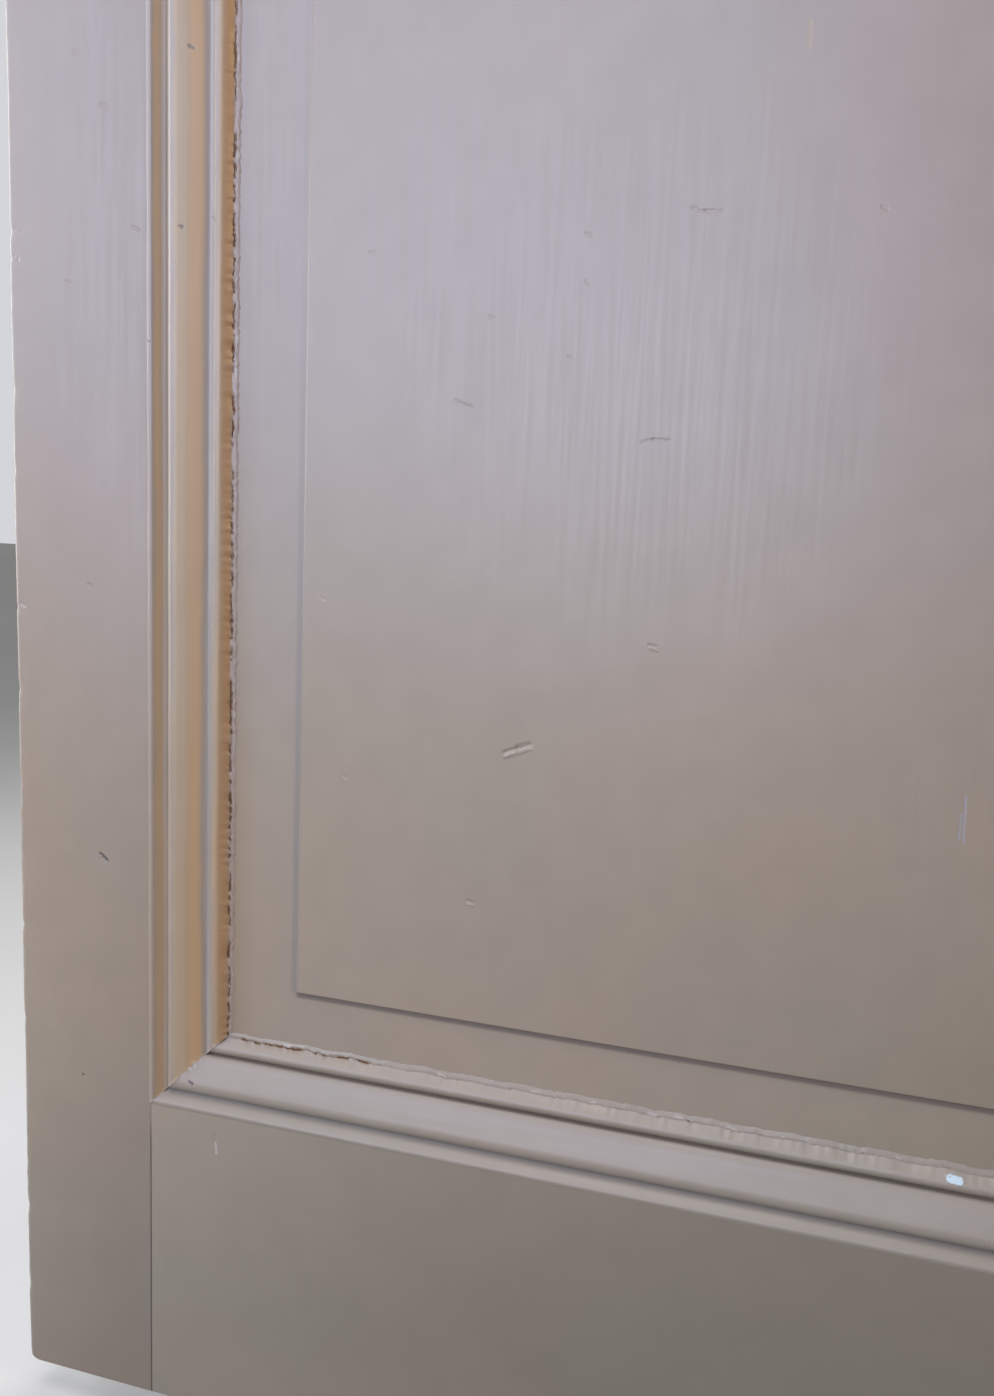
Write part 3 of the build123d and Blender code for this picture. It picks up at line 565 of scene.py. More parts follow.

# %% [markdown]
# ## The mouldings' finish
#
# The upright moulding at the lock side is painted ochre on the slopes that look towards the
# panel, as painted warm light, with a few paler bands of painted light. The colour follows the
# width of the moulding, so it is a band in the distance from the stile. At its foot the
# paint has cracked away from the panel, down to brown wood. The mesh carries that crack in
# an attribute, which is drawn further below, and a second one says where a flake has torn
# off. On the bottom moulding both quirks are painted darker, as painted shade.

# %% Moulding paints
def crack_wear(tree, place, color, relief):
    """Brown wood in the crack at the moulding's foot, and pale paint where it has torn."""
    crack = put(tree, "ShaderNodeAttribute", attribute_name="crack").outputs["Fac"]
    grain = speckle(tree, place, 240.0, 3.0)
    open_crack = fade(tree, calc(tree, "ADD", crack, times(tree, grain, 0.3)), 0.5, 0.75)
    color = blend(tree, open_crack, color, crack_brown)
    torn = put(tree, "ShaderNodeAttribute", attribute_name="torn").outputs["Fac"]
    return blend(tree, fade(tree, torn, 0.25, 0.45), color, torn_paint), relief


# Bands of painted warm light across the moulding, by distance from the stile: low, high, strength
# and colour.
ochre_light_bands = [
    (0.0036, 0.0076, 0.85, (0.50, 0.31, 0.15, 1)),
    (0.0078, 0.0098, 0.80, (0.52, 0.41, 0.31, 1)),
    (0.0170, 0.0250, 0.85, (0.48, 0.345, 0.20, 1)),
    (0.0250, 0.0340, 0.92, (0.50, 0.30, 0.135, 1)),
    (0.0366, 0.0390, 0.80, (0.42, 0.37, 0.34, 1)),
    (0.0437, 0.0470, 0.85, (0.46, 0.29, 0.135, 1)),
    (0.0470, 0.0515, 0.95, (0.42, 0.215, 0.08, 1)),
    (0.0525, 0.0560, 0.55, (0.37, 0.25, 0.205, 1)),
]


def ochre_light_and_crack(tree, place, color, relief):
    """Slopes painted with warm light in ochre and paler bands, then the crack."""
    start = stile_low.y + stile_w / MM_PER_M
    across = past(tree, place, "Y", start)
    wander = calc(tree, "SUBTRACT", speckle(tree, stretch(tree, place, (1, 1, 0.25)), 60.0), 0.5)
    across = calc(tree, "ADD", across, times(tree, wander, 0.004))
    drawn = speckle(tree, stretch(tree, place, (160, 160, 3)), 1.0, 3.0)
    for low, high, strength, band_color in ochre_light_bands:
        here = band(tree, across, low, high, 0.002)
        uneven = fade(tree, drawn, 0.25, 0.75, strength * 0.75, strength)
        color = blend(tree, times(tree, here, uneven), color, band_color)
    return crack_wear(tree, place, color, relief)


def quirk_shade_and_crack(tree, place, color, relief):
    """Painted shade in both quirks of a level moulding, then the crack."""
    across = past(tree, place, "Z", stile_low.z + opening_low / MM_PER_M)
    # Both quirks are painted darker, as painted shade.
    for low, high in ((0.0084, 0.0108), (0.0366, 0.0392)):
        dirt = times(tree, band(tree, across, low, high, 0.0014), 0.62)
        color = blend(tree, dirt, color, shade_brown)
    return crack_wear(tree, place, color, relief)


brown = (0.21, 0.165, 0.125, 1)
upright_marks = [
    ((99.9, 722.5), (102.9, 720.5), 1, 1.6, 0.5, dark),
    ((128, 892), (131.5, 890.5), 4, 1.5, 0.3, brown),
    ((117, 791.5), (124, 788.5), 3, 1.3, 0.5, brown),
    ((142, 795), (144.5, 792.5), 8, 1.2, 0.4, brown),
    ((118, 662), (121, 661), 3, 1.3, 0.3),
    ((114.5, 447), (117, 446), 3, 1.2, 0.3),
]
level_marks_and_highlight = [
    # A painted highlight: a pale blue glint on a raised drop of paint, with a grey streak beside
    # it.
    ((614, 264.7), (618.5, 263.9), 9, 3, -0.3, (0.56, 0.68, 0.74, 1)),
    ((606.5, 267.3), (614, 265.6), 9, 1.1, -0.2, (0.42, 0.42, 0.43, 1)),
    ((632, 234.5), (637, 232.5), 3, 2.2, 0.3, (0.17, 0.11, 0.08, 1)),
    ((131, 237.5), (133, 236), 1.2, 1.4, 0.3, dark),
]
upright_moulding_paint = painted(
    "Yellowed paint on the lock side moulding", UPRIGHT, upright_marks, ochre_light_and_crack
)
level_moulding_paint = painted(
    "Taupe paint on the bottom moulding", LEVEL, level_marks_and_highlight, quirk_shade_and_crack, sky_tinted_paint
)
upright_paint = painted("Taupe paint, upright strokes", UPRIGHT)
level_paint = painted("Taupe paint, level strokes", LEVEL)
print("Moulding paints are ready")

# %% [markdown]
# ## Metal, wood and rubber
#
# The fittings and the strike plate are satin brass, brushed in one direction and clouded by
# tarnish. The hinges are zinc-plated steel with darker screws, and what the lock holds
# inside is satin steel. The threshold is oiled hardwood, and the seal is soft black rubber.

# %% Metals
def metal(name, color, roughness, stroke, tarnish):
    """Brushed metal: fine scratches along the stroke, and a clouded tarnish."""
    material, tree, shader, place = new_material(name)
    scratches = speckle(tree, stretch(tree, place, stroke), 1.0, 5.0, 0.65)
    cloud = fade(tree, speckle(tree, place, 26.0, 4.0), 0.42, 0.7, 0.0, 0.6)
    tone = blend(tree, cloud, color, tarnish)
    rough = calc(tree, "ADD", fade(tree, scratches, 0.2, 0.8, -0.06, 0.08), roughness)
    rough = calc(tree, "ADD", rough, times(tree, cloud, 0.12))
    bump = raised(tree, scratches, 0.000006)
    feed(tree, shader, {"Base Color": tone, "Roughness": rough, "Normal": bump, "Metallic": 1.0})
    return material


BRUSHED, DRAWN = (2600, 2600, 70), (2200, 2200, 90)
satin_brass = metal("Satin brass", (0.66, 0.48, 0.24, 1), 0.30, BRUSHED, (0.46, 0.32, 0.16, 1))
satin_steel = metal("Satin steel", (0.56, 0.55, 0.54, 1), 0.32, BRUSHED, (0.38, 0.37, 0.36, 1))
zinc_steel = metal("Zinc-plated steel", (0.60, 0.60, 0.58, 1), 0.38, DRAWN, (0.42, 0.43, 0.42, 1))
screw_steel = metal("Screw steel", (0.36, 0.355, 0.35, 1), 0.36, DRAWN, (0.25, 0.24, 0.23, 1))
print("Metals:", satin_brass.name, satin_steel.name, zinc_steel.name)

# %% Oiled hardwood and rubber
pore_brown = (0.05, 0.025, 0.012, 1)


def hardwood(name, light, brown, along):
    """Oiled wood: rings drawn out along the grain, with fine dark pores."""
    material, tree, shader, place = new_material(name)
    drawn = stretch(tree, place, along)
    bend = times(tree, speckle(tree, drawn, 0.3, 2.0), 6.0)
    feeds = {"Vector": drawn, "Scale": 0.35, "Distortion": 3.0, "Detail": 3.0, "Phase Offset": bend}
    rings = put(tree, "ShaderNodeTexWave", feeds)
    pores = fade(tree, speckle(tree, stretch(tree, drawn, (7, 7, 7)), 1.0, 2.0), 0.56, 0.68)
    tone = blend(tree, rings.outputs["Fac"], light, brown)
    tone = blend(tree, times(tree, pores, 0.6), tone, pore_brown)
    rough = fade(tree, pores, 0.0, 1.0, 0.42, 0.7)
    bump = raised(tree, pores, -0.0002)
    feed(tree, shader, {"Base Color": tone, "Roughness": rough, "Normal": bump})
    return material


def rubber(name):
    """Soft black rubber with a dusty bloom."""
    material, tree, shader, place = new_material(name)
    bloom = fade(tree, speckle(tree, place, 90.0, 4.0), 0.45, 0.75, 0.0, 0.5)
    tone = blend(tree, bloom, (0.022, 0.022, 0.024, 1), (0.09, 0.088, 0.085, 1))
    feed(tree, shader, {"Base Color": tone, "Roughness": 0.7})
    return material


threshold_oak = hardwood("Oiled oak", (0.30, 0.17, 0.075, 1), (0.19, 0.10, 0.045, 1), (6, 60, 60))
wedge_oak = hardwood("Wedge oak", (0.33, 0.20, 0.10, 1), (0.22, 0.13, 0.06, 1), (60, 6, 60))
seal_rubber = rubber("Seal rubber")
print("Materials so far:", len(bpy.data.materials))

# %% [markdown]
# ## Closing a piece
#
# Each piece is shaped in a bmesh on the bench.

# %% Finish a piece
def add_object(name, data):
    """Makes an object at the origin and puts it in the scene."""
    made = bpy.data.objects.new(name, data)
    bpy.context.scene.collection.objects.link(made)
    return made


def finish_piece(bm, name, material, body="leaf", sharp=38):
    """Makes the object of a bmesh that was drawn on the bench."""
    bm.transform(bench)
    bmesh.ops.recalc_face_normals(bm, faces=bm.faces)
    mesh = bpy.data.meshes.new(name)
    bm.to_mesh(mesh)
    bm.free()
    mesh.polygons.foreach_set("use_smooth", [True] * len(mesh.polygons))
    mesh.set_sharp_from_angle(angle=radians(sharp))
    mesh.materials.append(material)
    piece = add_object(name, mesh)
    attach(piece, body)
    print(name, "has", len(mesh.polygons), "faces")
    return piece


def slab(bm, across, inward, up):
    """A block between two values on each axis."""
    spans = (across, inward, up)
    size = Matrix.Diagonal([high - low for low, high in spans] + [1])
    middle = Matrix.Translation([(low + high) / 2 for low, high in spans])
    bmesh.ops.create_cube(bm, size=1, matrix=middle @ size)


def cut_along(bm, point, normal, clear=False):
    """Cuts the mesh along a plane, and clears what lies beyond it where that is asked."""
    bmesh.ops.bisect_plane(
        bm, geom=bm.verts[:] + bm.edges[:] + bm.faces[:], dist=1e-4,
        plane_co=point, plane_no=normal, clear_outer=clear,
    )


def slice_at(bm, axis, values):
    """Cuts rows into the mesh at each value on one axis."""
    normal = Vector((0, 0, 0))
    normal[axis] = 1
    for value in values:
        cut_along(bm, normal * value, normal)


def runs(edge, axis, least=1):
    """Whether an edge runs further than the least length along one axis."""
    return abs(edge.verts[0].co[axis] - edge.verts[1].co[axis]) > least


def bevel(bm, edges, offset, segments):
    """Rounds the edges."""
    bmesh.ops.bevel(
        bm, geom=edges, offset=offset, segments=segments, profile=0.5, affect="EDGES", material=-1
    )


def faces_inside(bm, low, high):
    """The faces whose middle lies in a box."""
    found = []
    for face in bm.faces:
        middle = face.calc_center_median()
        if all(low[i] <= middle[i] <= high[i] for i in range(3)):
            found.append(face)
    return found


def corners_in(items):
    """The vertices among the things that an operator made."""
    return [item for item in items if isinstance(item, bmesh.types.BMVert)]


def push(bm, faces, shift):
    """Extrudes a patch of faces by a shift, into the piece or out of it."""
    made = bmesh.ops.extrude_face_region(bm, geom=faces)
    bmesh.ops.translate(bm, verts=corners_in(made["geom"]), vec=shift)
    old = [face for face in faces if face.is_valid]
    bmesh.ops.delete(bm, geom=old, context="FACES")


print("Piece helpers are ready")

# %% [markdown]
# ## The lock stile
#
# A stile is a plain board, and what makes it real is its free edge. It is built as a block
# with rounded arrises, then sliced into rows over the height that hands and shoes reach.
# The rows let each arris wander by a few tenths of a millimetre, take nicks, and round off
# at the foot. Shallow recesses leave room for the lock's forend and for the ends of the
# tenons, which come through the edge.

# %% Shape the lock stile
ROUND, FOOT_ROUND = 2.0, 9.0
WORN_TO, WORN_FADE, WORN_ACROSS, ROW = 930, 80, 10, 3
JOINT_ARRIS, END_ARRIS, FOOT_ARRIS, RIM_ROUND = 0.35, 0.45, 1.2, 2.3
nicks = [
    (788, 1.1, 5), (772, 0.8, 4), (690, 0.6, 7), (640, 0.5, 9), (550, 0.9, 3),
    (495, 0.8, 6), (430, 0.5, 8), (330, 0.6, 5), (262, 0.5, 6), (120, 0.9, 8), (60, 0.6, 10),
]
forend_low, forend_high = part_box("lock_forend")
forend_up = (to_mm(forend_low.z - stile_low.z), to_mm(forend_high.z - stile_low.z))
forend_in = (to_mm(stile_high.x - forend_high.x), to_mm(stile_high.x - forend_low.x))
forend_depth = to_mm(forend_high.y - forend_low.y)
TENON_HALF, TENON_SINK, WEDGE = 7, 1.5, 5
tenon_in = (leaf_t / 2 - TENON_HALF, leaf_t / 2 + TENON_HALF)
rail_tenons = [(24, 92), (126, 194)]
tenon_ups = [(low - WEDGE, high + WEDGE) for low, high in rail_tenons]
tenon_ups.append((leaf_h - 83, leaf_h - 19))


def soften(value):
    """A smooth step from 1 at 0 to 0 at 1."""
    value = min(max(value, 0.0), 1.0)
    return 1 - value * value * (3 - 2 * value)


def ripple(x, y, z):
    """A smooth noise pattern, from about -1 to 1."""
    return noise.noise(Vector((x, y, z)))


def wear_edge(bm):
    """Moves the rows near the free edge: long waves, small waves, nicks and a round foot."""
    for vert in bm.verts:
        across, inward, up = vert.co
        if across > WORN_ACROSS or up > WORN_TO:
            continue
        face_side = soften(across / 9)
        arris = soften(inward / 7)
        wave = ripple(up * 0.018, 1.7, 0) * 0.9 + ripple(up * 0.12, 5.1, 0) * 0.35
        dig = sum(depth * soften(abs(up - at) / half) for at, depth, half in nicks)
        shift = (max(wave, -0.4) + 0.25 + dig) * face_side * arris
        fading = soften((up - WORN_TO + WORN_FADE) / WORN_FADE) if up > WORN_TO - WORN_FADE else 1.0
        vert.co.x += shift * fading
        vert.co.y += dig * 0.5 * face_side * arris * soften(inward / 2.5) * fading
        gap = Vector((FOOT_ROUND - vert.co.x, FOOT_ROUND - up))
        if gap.x > 0 and gap.y > 0 and gap.length > FOOT_ROUND:
            gap = gap.normalized() * FOOT_ROUND
            vert.co.x, vert.co.z = FOOT_ROUND - gap.x, FOOT_ROUND - gap.y


bm = bmesh.new()
slab(bm, (0, stile_w), (0, leaf_t), (0, leaf_h))
free_edges = [e for e in bm.edges if runs(e, UP) and all(v.co.x < 1 for v in e.verts)]
bevel(bm, free_edges, ROUND, 5)
joint_edges = [e for e in bm.edges if runs(e, UP) and all(v.co.x > stile_w - 1 for v in e.verts)]
bevel(bm, joint_edges, JOINT_ARRIS, 2)
slice_at(bm, UP, [FOOT_ARRIS] + [ROW * i for i in range(1, WORN_TO // ROW)])
slice_at(bm, UP, [value for ups in tenon_ups + [forend_up] for value in ups])
slice_at(bm, ACROSS, [3.5, 5.5, 8.0])
slice_at(bm, INWARD, sorted({*tenon_in, *forend_in, 4.0, 7.0}))
for ups in tenon_ups:
    patch = faces_inside(bm, (-0.1, tenon_in[0], ups[0]), (0.1, tenon_in[1], ups[1]))
    push(bm, patch, (TENON_SINK, 0, 0))
patch = faces_inside(bm, (-0.1, forend_in[0], forend_up[0]), (0.1, forend_in[1], forend_up[1]))
push(bm, patch, (forend_depth, 0, 0))
wear_edge(bm)
stile = finish_piece(bm, "painted_lock_stile", stile_paint)
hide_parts("lock_stile")

# %% [markdown]
# ## The bottom rail
#
# The rail meets the stile in a fine open joint: wood shrinks across the grain, and the
# paint breaks along the line. A tiny bevel on both pieces makes that line real. The
# tenons grow out of the ends of the rail and come through both stiles.

# %% Shape the bottom rail
bm = bmesh.new()
slab(bm, (stile_w, opening_end), (0, leaf_t), (0, opening_low))
bevel(bm, [e for e in bm.edges if runs(e, UP)], END_ARRIS, 2)
foot = [e for e in bm.edges if runs(e, ACROSS, 9) and all(v.co.z < 0.1 for v in e.verts)]
bevel(bm, foot, FOOT_ARRIS, 3)
slice_at(bm, INWARD, tenon_in)
slice_at(bm, UP, [value for span in rail_tenons for value in span])
for low, high in rail_tenons:
    for at, shift in ((stile_w, -stile_w), (opening_end, stile_w)):
        patch = faces_inside(bm, (at - 0.1, tenon_in[0], low), (at + 0.1, tenon_in[1], high))
        push(bm, patch, (shift, 0, 0))
rail = finish_piece(bm, "painted_bottom_rail", rail_paint)
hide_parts("bottom_rail")

# %% [markdown]
# ## The fielded panel
#
# A fielded panel has a flat margin that slips into the grooves of the frame, and a raised
# field in the middle. The block is sliced along the outline of the field, the field is
# pushed out on both faces, and its rim is rounded by years of paint.

# %% Shape the lower panel
panel_low, panel_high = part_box("lower_panel")
panel_across = (to_mm(panel_low.y - stile_low.y), to_mm(panel_high.y - stile_low.y))
panel_up = (to_mm(panel_low.z - stile_low.z), to_mm(panel_high.z - stile_low.z))
PANEL_HALF = 9
margin_in = leaf_t / 2 - PANEL_HALF
field_across = (stile_w + FIELD_SIDE, opening_end - FIELD_SIDE)
field_up = (opening_low + FIELD_END, opening_high - FIELD_END)
rise = margin_in - field_in
bm = bmesh.new()
slab(bm, panel_across, (margin_in, leaf_t - margin_in), panel_up)
slice_at(bm, ACROSS, field_across)
slice_at(bm, UP, field_up)
for at, shift in ((margin_in, -rise), (leaf_t - margin_in, rise)):
    low = (field_across[0], at - 0.1, field_up[0])
    high = (field_across[1], at + 0.1, field_up[1])
    push(bm, faces_inside(bm, low, high), (0, shift, 0))
outer = (field_in, leaf_t - field_in)
rim = [
    e for e in bm.edges
    if all(any(abs(v.co.y - at) < 0.01 for at in outer) for v in e.verts) and len(e.link_faces) == 2
    and e.calc_face_angle() > 0.5
]
bevel(bm, rim, RIM_ROUND, 4)
panel = finish_piece(bm, "painted_lower_panel", panel_paint)
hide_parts("lower_panel")
print("The field rises", round(rise, 1), "mm above the margin")

# %% [markdown]
# ## The mouldings
#
# A moulding is a strip with one section all along it, planted round the panel and mitred
# at the corners. From the outer edge inwards the section is a slope, a quirk, a broad
# torus, a second quirk and a small bead. The rounds are drawn by spinning one vertex about
# the centre of each round, which leaves a trail of short edges behind it. The section is
# then extruded along the strip, and two slanting cuts make the mitres.

# %% Draw the section of the moulding
TORUS_START, CROWN, TORUS_TURN, TORUS_END = (10.4, 5.6), (15.6, 1.0), (19.6, 1.75), (36.4, 8.3)
BEAD_START, BEAD_CROWN, BEAD_TURN = (39.4, 9.6), (42.8, 6.9), (45.4, 7.9)
LIP = [(-1.2, 0.05), (-0.7, -0.14), (0.5, -0.24), (1.9, -0.16), (2.6, 0.4)]
SLOPE = [(3.4, 1.1), (4.9, 2.5), (6.6, 4.3), (8.3, 4.8), (9.4, 5.4), (10.0, 5.9)]
QUIRK = [(37.2, 10.4), (38.0, 11.2), (39.0, 11.0)]
CRACK = [(49.4, 12.2), (50.3, 12.2)]
OUTER_DIP, INNER_DIP = (8.2, 10.2), (37, 39.6)
IN_CRACK, PAST_CRACK = (49.3, 50.5), (50.6, 52.6)
ALONG = 0


def go(bm, vert, place):
    """Draws a straight edge from the vertex to a place on the section."""
    made = bmesh.ops.extrude_vert_indiv(bm, verts=[vert])
    new = made["verts"][0]
    new.co = (0, *place)
    return new


def swing(bm, vert, crown, end, steps):
    """Draws a round that is level at its crown. The vertex stands at one end of it."""
    across, fall = abs(end[0] - crown[0]), end[1] - crown[1]
    radius = (across * across + fall * fall) / (2 * fall)
    turn = atan2(across, radius - fall)
    centre = (0, crown[0], crown[1] + radius)
    made = bmesh.ops.spin(
        bm, geom=[vert], cent=centre, axis=(1, 0, 0), angle=turn, steps=steps, use_merge=False
    )
    return corners_in(made["geom_last"])[0]


def draw_section(bm, deep):
    """The outline of the moulding, from the back at the stile round to the back again."""
    at = first = bmesh.ops.create_vert(bm, co=(0, 0, deep))["vert"][0]
    for place in LIP + SLOPE + [TORUS_START]:
        at = go(bm, at, place)
    at = swing(bm, at, CROWN, TORUS_START, 7)
    at = swing(bm, at, CROWN, TORUS_TURN, 3)
    for place in [(25.4, 3.95), (31.2, 6.2), TORUS_END] + QUIRK + [BEAD_START]:
        at = go(bm, at, place)
    at = swing(bm, at, BEAD_CROWN, BEAD_START, 5)
    at = swing(bm, at, BEAD_CROWN, BEAD_TURN, 3)
    for place in [(48.9, 11.8)] + CRACK + [(50.9, 12.1), (52.2, 12.3), (53.4, deep)]:
        at = go(bm, at, place)
    bm.edges.new((at, first))
    return bm.edges[:]


bm = bmesh.new()
section = draw_section(bm, margin_in)
print("The section has", len(section), "edges")
bm.free()

# %% [markdown]
# Old paint is never straight. Along the foot of the moulding it forms a ragged fillet that
# has cracked away from the bead. Each row of the strip moves a little by a noise pattern:
# the lip at the stile hardly, and the fillet at the foot a lot. How deep the crack lies
# goes into an attribute, which the paint reads. Paint fills the inner quirk at the lock
# side, while the outer quirk of the bottom strip stays deep, and along the first mitre of
# each strip the paint has torn into a small lip.

# %% A strip of moulding
WIDEN_FROM, WIDEN_OVER = 41, 8
QUIRK_FLOOR, FILLET_FROM = 8.7, 48.4
CRACK_FADE, CRACK_FACE, CRACK_DEPTH, CLOSED_BY = 30, 12.1, 0.83, 1.6


def between(value, span):
    """Whether a value lies inside a span."""
    return span[0] < value < span[1]


def rough_up(bm, filled, widen, raggedness, cracked, seed):
    """Moves the rows of the strip, and notes where the crack is open."""
    crack = bm.verts.layers.float.new("crack")
    torn = bm.verts.layers.float.new("torn")
    for vert in bm.verts:
        along, across, inward = vert.co
        vert.co.y += widen * (1 - soften((across - WIDEN_FROM) / WIDEN_OVER))
        if between(across, INNER_DIP):
            vert.co.z += (QUIRK_FLOOR - inward) * max(filled, 0.0)
        if between(across, OUTER_DIP):
            vert.co.z += max(-filled, 0.0)
        slow = ripple(along * 0.02, across * 0.05, seed)
        quick = ripple(along * 0.35, seed, across * 0.3)
        fine = ripple(along * 0.9, seed + 3, across)
        if across < 1 and inward < 0.7:
            vert.co.y += slow * 0.5 + quick * 0.45
            vert.co.z -= max(quick, -0.2) * 0.2
        if 1 < across < 48 and inward < margin_in - 0.5:
            vert.co.z += slow * 0.18 + quick * 0.05
        if across > FILLET_FROM:
            drift = ripple(along * 0.06, seed, 7)
            vert.co.y += (drift * 1.2 + quick * 1.1 + fine * 0.7) * raggedness
            if inward < margin_in - 0.01:
                vert.co.z += (abs(fine) * 0.4 - abs(quick) * 0.5) * raggedness
        if between(across, IN_CRACK) and inward < margin_in:
            gape = soften((ripple(along * 0.045, seed, 9) - 0.1) * 3)
            dashes = ripple(along * 0.15, seed, 4) + quick * 0.7
            gape *= soften((dashes + 0.04) * 4)
            gape *= soften((along - cracked) / CRACK_FADE)
            vert[crack] = gape
            vert.co.z = CRACK_FACE + gape * CRACK_DEPTH
        if between(across, PAST_CRACK):
            closed = 1 - soften((along - cracked) / CRACK_FADE)
            vert.co.y -= closed * CLOSED_BY
            vert[torn] = soften((0.5 - ripple(along * 0.11, seed, across * 0.2)) * 5) * 0.6


def tear_mitre(bm, seed):
    """Lifts a torn lip of paint along the first mitre, and notes it for the colour."""
    torn = bm.verts.layers.float["torn"]
    for vert in bm.verts:
        along, across, inward = vert.co
        if abs(along - across) < 0.01 and inward < margin_in - 0.2:
            lift = 0.45 + ripple(across * 0.5, seed, 1)
            vert[torn] = max(lift, 0.0)
            vert.co.z -= max(lift, 0.0) * 0.5


def moulding_strip(name, length, rows, to_bench, material, node, **wear):
    """One mitred length. X runs along it, Y across it from its outer edge, and Z inwards."""
    bm = bmesh.new()
    outline = draw_section(bm, margin_in)
    made = bmesh.ops.extrude_edge_only(bm, edges=outline)
    bmesh.ops.translate(bm, verts=corners_in(made["geom"]), vec=(length, 0, 0))
    long_edges = [e for e in bm.edges if runs(e, ALONG)]
    bmesh.ops.subdivide_edges(bm, edges=long_edges, cuts=rows, use_grid_fill=True)
    rough_up(bm, **wear)
    for point, normal in (((0, 0, 0), (-1, 1, 0)), ((length, 0, 0), (1, 1, 0))):
        cut_along(bm, point, normal, clear=True)
    tear_mitre(bm, wear["seed"])
    rims = [e for e in bm.edges if e.is_boundary]
    bmesh.ops.holes_fill(bm, edges=rims, sides=0)
    bm.transform(to_bench)
    strip = finish_piece(bm, name, material, sharp=50)
    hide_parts(node)
    return strip


def axes(along, across, corner):
    """The matrix that lays a strip on the bench, from two directions and its corner."""
    turned = Matrix((along, across, (0, 1, 0))).transposed().to_4x4()
    return Matrix.Translation(corner) @ turned


across_l, upright_l = opening_end - stile_w, opening_high - opening_low
moulding_strip(
    "lock_side_moulding_strip", upright_l, 520,
    axes((0, 0, 1), (1, 0, 0), (stile_w, 0, opening_low)),
    upright_moulding_paint, "lower_moulding_lock_side_outdoor",
    filled=0.9, widen=2.4, raggedness=1.0, cracked=900, seed=2.0,
)
moulding_strip(
    "bottom_moulding_strip", across_l, 440,
    axes((1, 0, 0), (0, 0, 1), (stile_w, 0, opening_low)),
    level_moulding_paint, "lower_moulding_bottom_outdoor",
    filled=-1.5, widen=0.6, raggedness=0.8, cracked=150, seed=7.0,
)
moulding_strip(
    "top_moulding_strip", across_l, 160,
    axes((1, 0, 0), (0, 0, -1), (stile_w, 0, opening_high)),
    level_paint, "lower_moulding_top_outdoor",
    filled=-0.8, widen=0.0, raggedness=0.6, cracked=0, seed=11.0,
)
moulding_strip(
    "hinge_side_moulding_strip", upright_l, 180,
    axes((0, 0, 1), (-1, 0, 0), (opening_end, 0, opening_low)),
    upright_paint, "lower_moulding_hinge_side_outdoor",
    filled=-0.8, widen=0.0, raggedness=0.6, cracked=0, seed=15.0,
)

# %% [markdown]
# ## The pieces that keep their solid shape
#
# The rest of the door is already the right shape, so it only needs its finish. The names of
# the pieces say what each is made of.

# %% Finish the solid pieces
def dress(names, material):
    """Gives the material to each named solid piece."""
    for name in names:
        mesh = nodes[name].data
        mesh.materials.clear()
        mesh.materials.append(material)
    print(material.name, "on", len(names), "pieces")


names = sorted(nodes)
timber_words = ("jamb", "stile", "rail", "panel", "moulding", "frame_head")
upright_words = ("jamb", "stile", "panel", "side")
timber = [n for n in names if any(word in n for word in timber_words)]
timber = [n for n in timber if "hinge_screws" not in n and "flap" not in n]
upright = [n for n in timber if any(word in n for word in upright_words)]
dress(upright, upright_paint)
dress([n for n in timber if n not in upright], level_paint)
dress(["threshold"], threshold_oak)
dress(["tenon_wedges"], wedge_oak)
dress(["weather_seals"], seal_rubber)
brass = ["outdoor_lever", "indoor_lever", "outdoor_backplate", "indoor_backplate", "thumbturn"]
brass += ["lock_forend", "lock_cylinder", "backplate_screws", "forend_screws", "latch"]
brass += ["deadbolt", "strike_plate", "strike_screws"]
dress(brass, satin_brass)
dress(["lock_case", "follower", "spindle", "cylinder_cam"], satin_steel)
dress(["jamb_hinge_screws", "leaf_hinge_screws", "frame_joint_screws"], screw_steel)
dress([n for n in names if n.startswith("hinge_") and n not in timber], zinc_steel)

# %% [markdown]
# ## Floor, light and camera
#
# The studio is plain: a pale floor and an even, soft light. A broad cold card stands in
# front at the left, where the open sky would be, so the gloss of the paint fades from a
# lilac sheen at the top left to plain brown at the foot. A small card straight ahead and a
# lamp above fill in the face, and a low lamp at the left brightens the stile. A warm lamp at
# the right grazes the leaf and picks out the slopes of the upright moulding. One more card
# lights the indoor side.

# %% Floor and world
def seen_directly(tree):
    """1 for what the camera sees, also in a gloss or through glass, and 0 for other rays."""
    path = put(tree, "ShaderNodeLightPath").outputs
    seen = calc(tree, "ADD", path["Is Camera Ray"], path["Is Glossy Ray"])
    return calc(tree, "ADD", seen, path["Is Transmission Ray"], clamp=True)


FLOOR_REACH = 9
warm_light, cool_sky = (1.0, 0.98, 0.94, 1), (0.93, 0.95, 1.0, 1)
floor_mesh = bpy.data.meshes.new("studio_floor")
bm = bmesh.new()
bmesh.ops.create_grid(bm, x_segments=1, y_segments=1, size=FLOOR_REACH)
bm.to_mesh(floor_mesh)
bm.free()
floor = add_object("studio_floor", floor_mesh)
floor_paint, tree, shader, place = new_material("Pale floor")
tone = fade(tree, speckle(tree, place, 1.5, 2.0), 0.3, 0.7, 0.66, 0.70)
tone = times(tree, tone, fade(tree, seen_directly(tree), 0, 1, 0.35, 1.0))
feed(tree, shader, {"Base Color": tone, "Roughness": 0.8})
floor_mesh.materials.append(floor_paint)

world = bpy.data.worlds.new("studio")
bpy.context.scene.world = world
world.use_nodes = True
tree = world.node_tree
seen = seen_directly(tree)
sky = blend(tree, seen, warm_light, cool_sky)
feed(tree, tree.nodes["Background"], {"Color": sky, "Strength": fade(tree, seen, 0, 1, 0.25, 0.70)})
print("The floor spans", floor.dimensions[:2], "m")


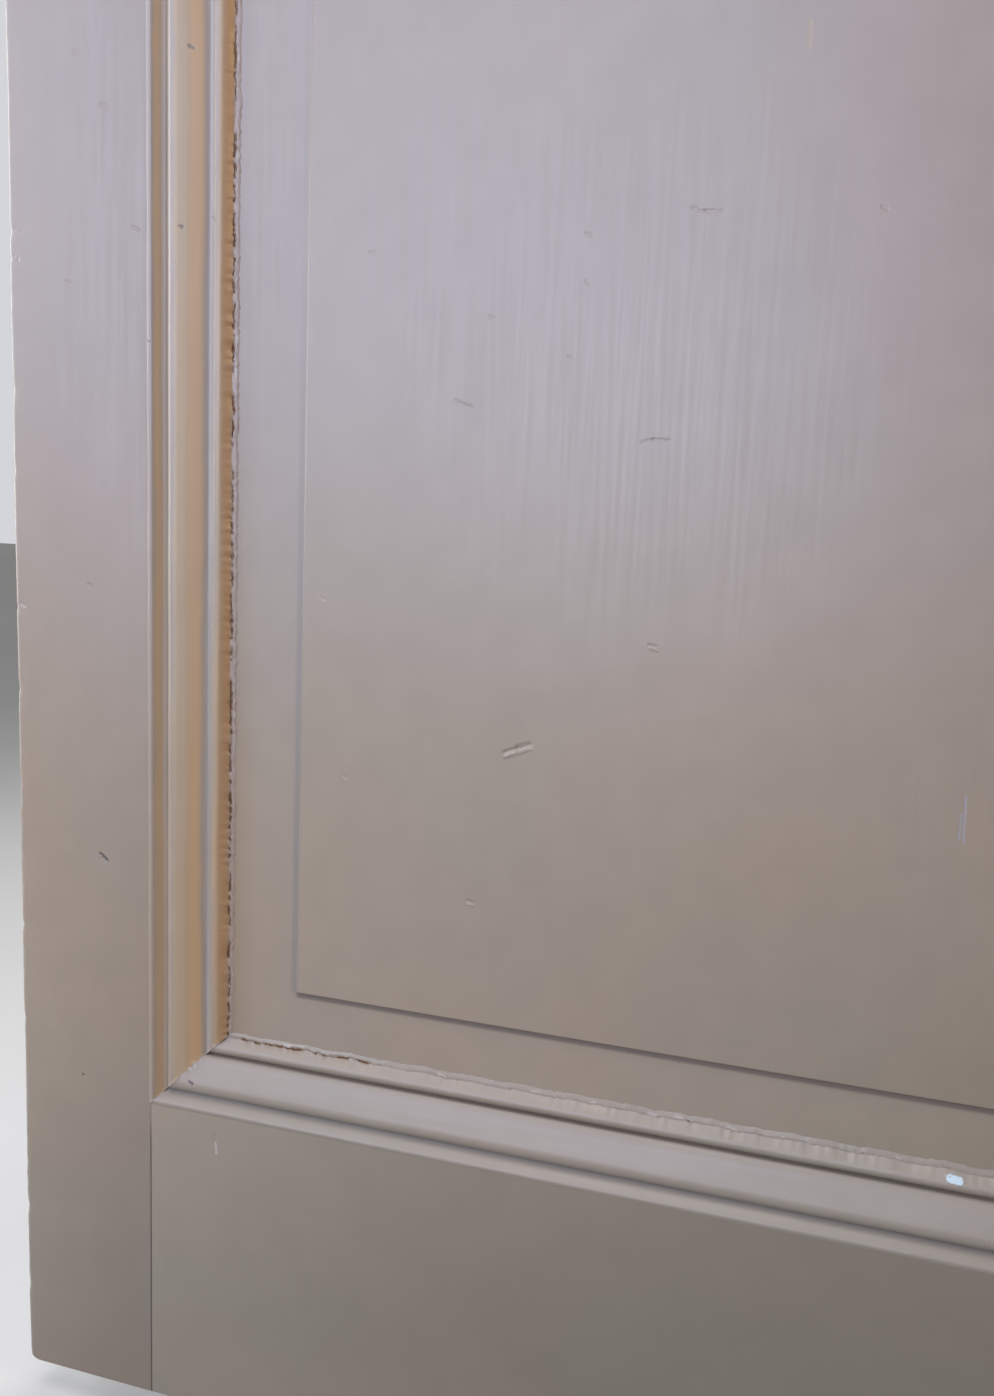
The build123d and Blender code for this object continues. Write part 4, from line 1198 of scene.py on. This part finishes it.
# %% Lamps
def lamp(name, place, aim, size, power, color, spread=180):
    """A soft lamp that looks at a point. Its spread is the width of its beam in degrees."""
    light = bpy.data.lights.new(name, "AREA")
    light.shape = "RECTANGLE"
    light.size, light.size_y = size
    light.energy = power
    light.color = color
    light.spread = radians(spread)
    obj = add_object(name, light)
    obj.location = place
    obj.rotation_euler = (Vector(aim) - Vector(place)).to_track_quat("-Z", "Y").to_euler()
    print(name, "at", place, "with", power, "W")


lamp("front_card", (2.93, -1.13, 1.60), (0.43, -0.6, 1.65), (1.8, 2.8), 3.8, (0.86, 0.86, 1.0), 45)
lamp("sky_card", (2.75, -1.60, 1.75), (0.43, -0.6, 1.3), (3.0, 2.2), 22, (0.55, 0.68, 1.0), 110)
lamp("high_lamp", (1.27, -0.99, 2.64), (0.43, -0.6, 0.65), (1.2, 1.2), 17, (0.97, 0.93, 1.0))
lamp("left_lamp", (0.95, -2.90, 1.00), (0.43, -0.6, 0.6), (1.3, 1.5), 18, (0.95, 0.96, 0.93), 110)
lamp("indoor_card", (-2.3, -0.3, 1.9), (0.43, -0.4, 0.9), (2.4, 2.0), 30, (1.0, 0.97, 0.92), 120)
lamp("right_lamp", (1.0, 1.9, 1.5), (0.43, -0.8, 0.6), (0.8, 0.8), 16, (1.0, 0.80, 0.52))

# %% [markdown]
# The camera was solved from the straight edges of the door in the photo. It looks at the
# leaf from about three quarters of a metre, turned to the left, a little down, and leaning.

# %% Camera
focal_px, image_h, sensor_h = 1298.7, 1396, 36
turn_left, look_down, lean = 17.46, -9.068, -2.283
eye = Vector((1.1568, -0.3717, 0.6628))
look = (
    Matrix.Rotation(radians(90 + turn_left), 4, "Z")
    @ Matrix.Rotation(radians(look_down), 4, "X")
    @ Matrix.Rotation(radians(lean), 4, "Y")
    @ Matrix.Rotation(radians(90), 4, "X")
)
camera = bpy.data.cameras.new("camera")
camera.sensor_fit = "VERTICAL"
camera.sensor_height = sensor_h
camera.lens = focal_px * sensor_h / image_h
camera.clip_start = 0.01
holder = add_object("camera", camera)
holder.matrix_world = Matrix.Translation(eye) @ look
bpy.context.scene.camera = holder
bpy.context.scene.view_settings.view_transform = "Standard"
print("Camera lens", round(camera.lens, 2), "mm at", eye[:])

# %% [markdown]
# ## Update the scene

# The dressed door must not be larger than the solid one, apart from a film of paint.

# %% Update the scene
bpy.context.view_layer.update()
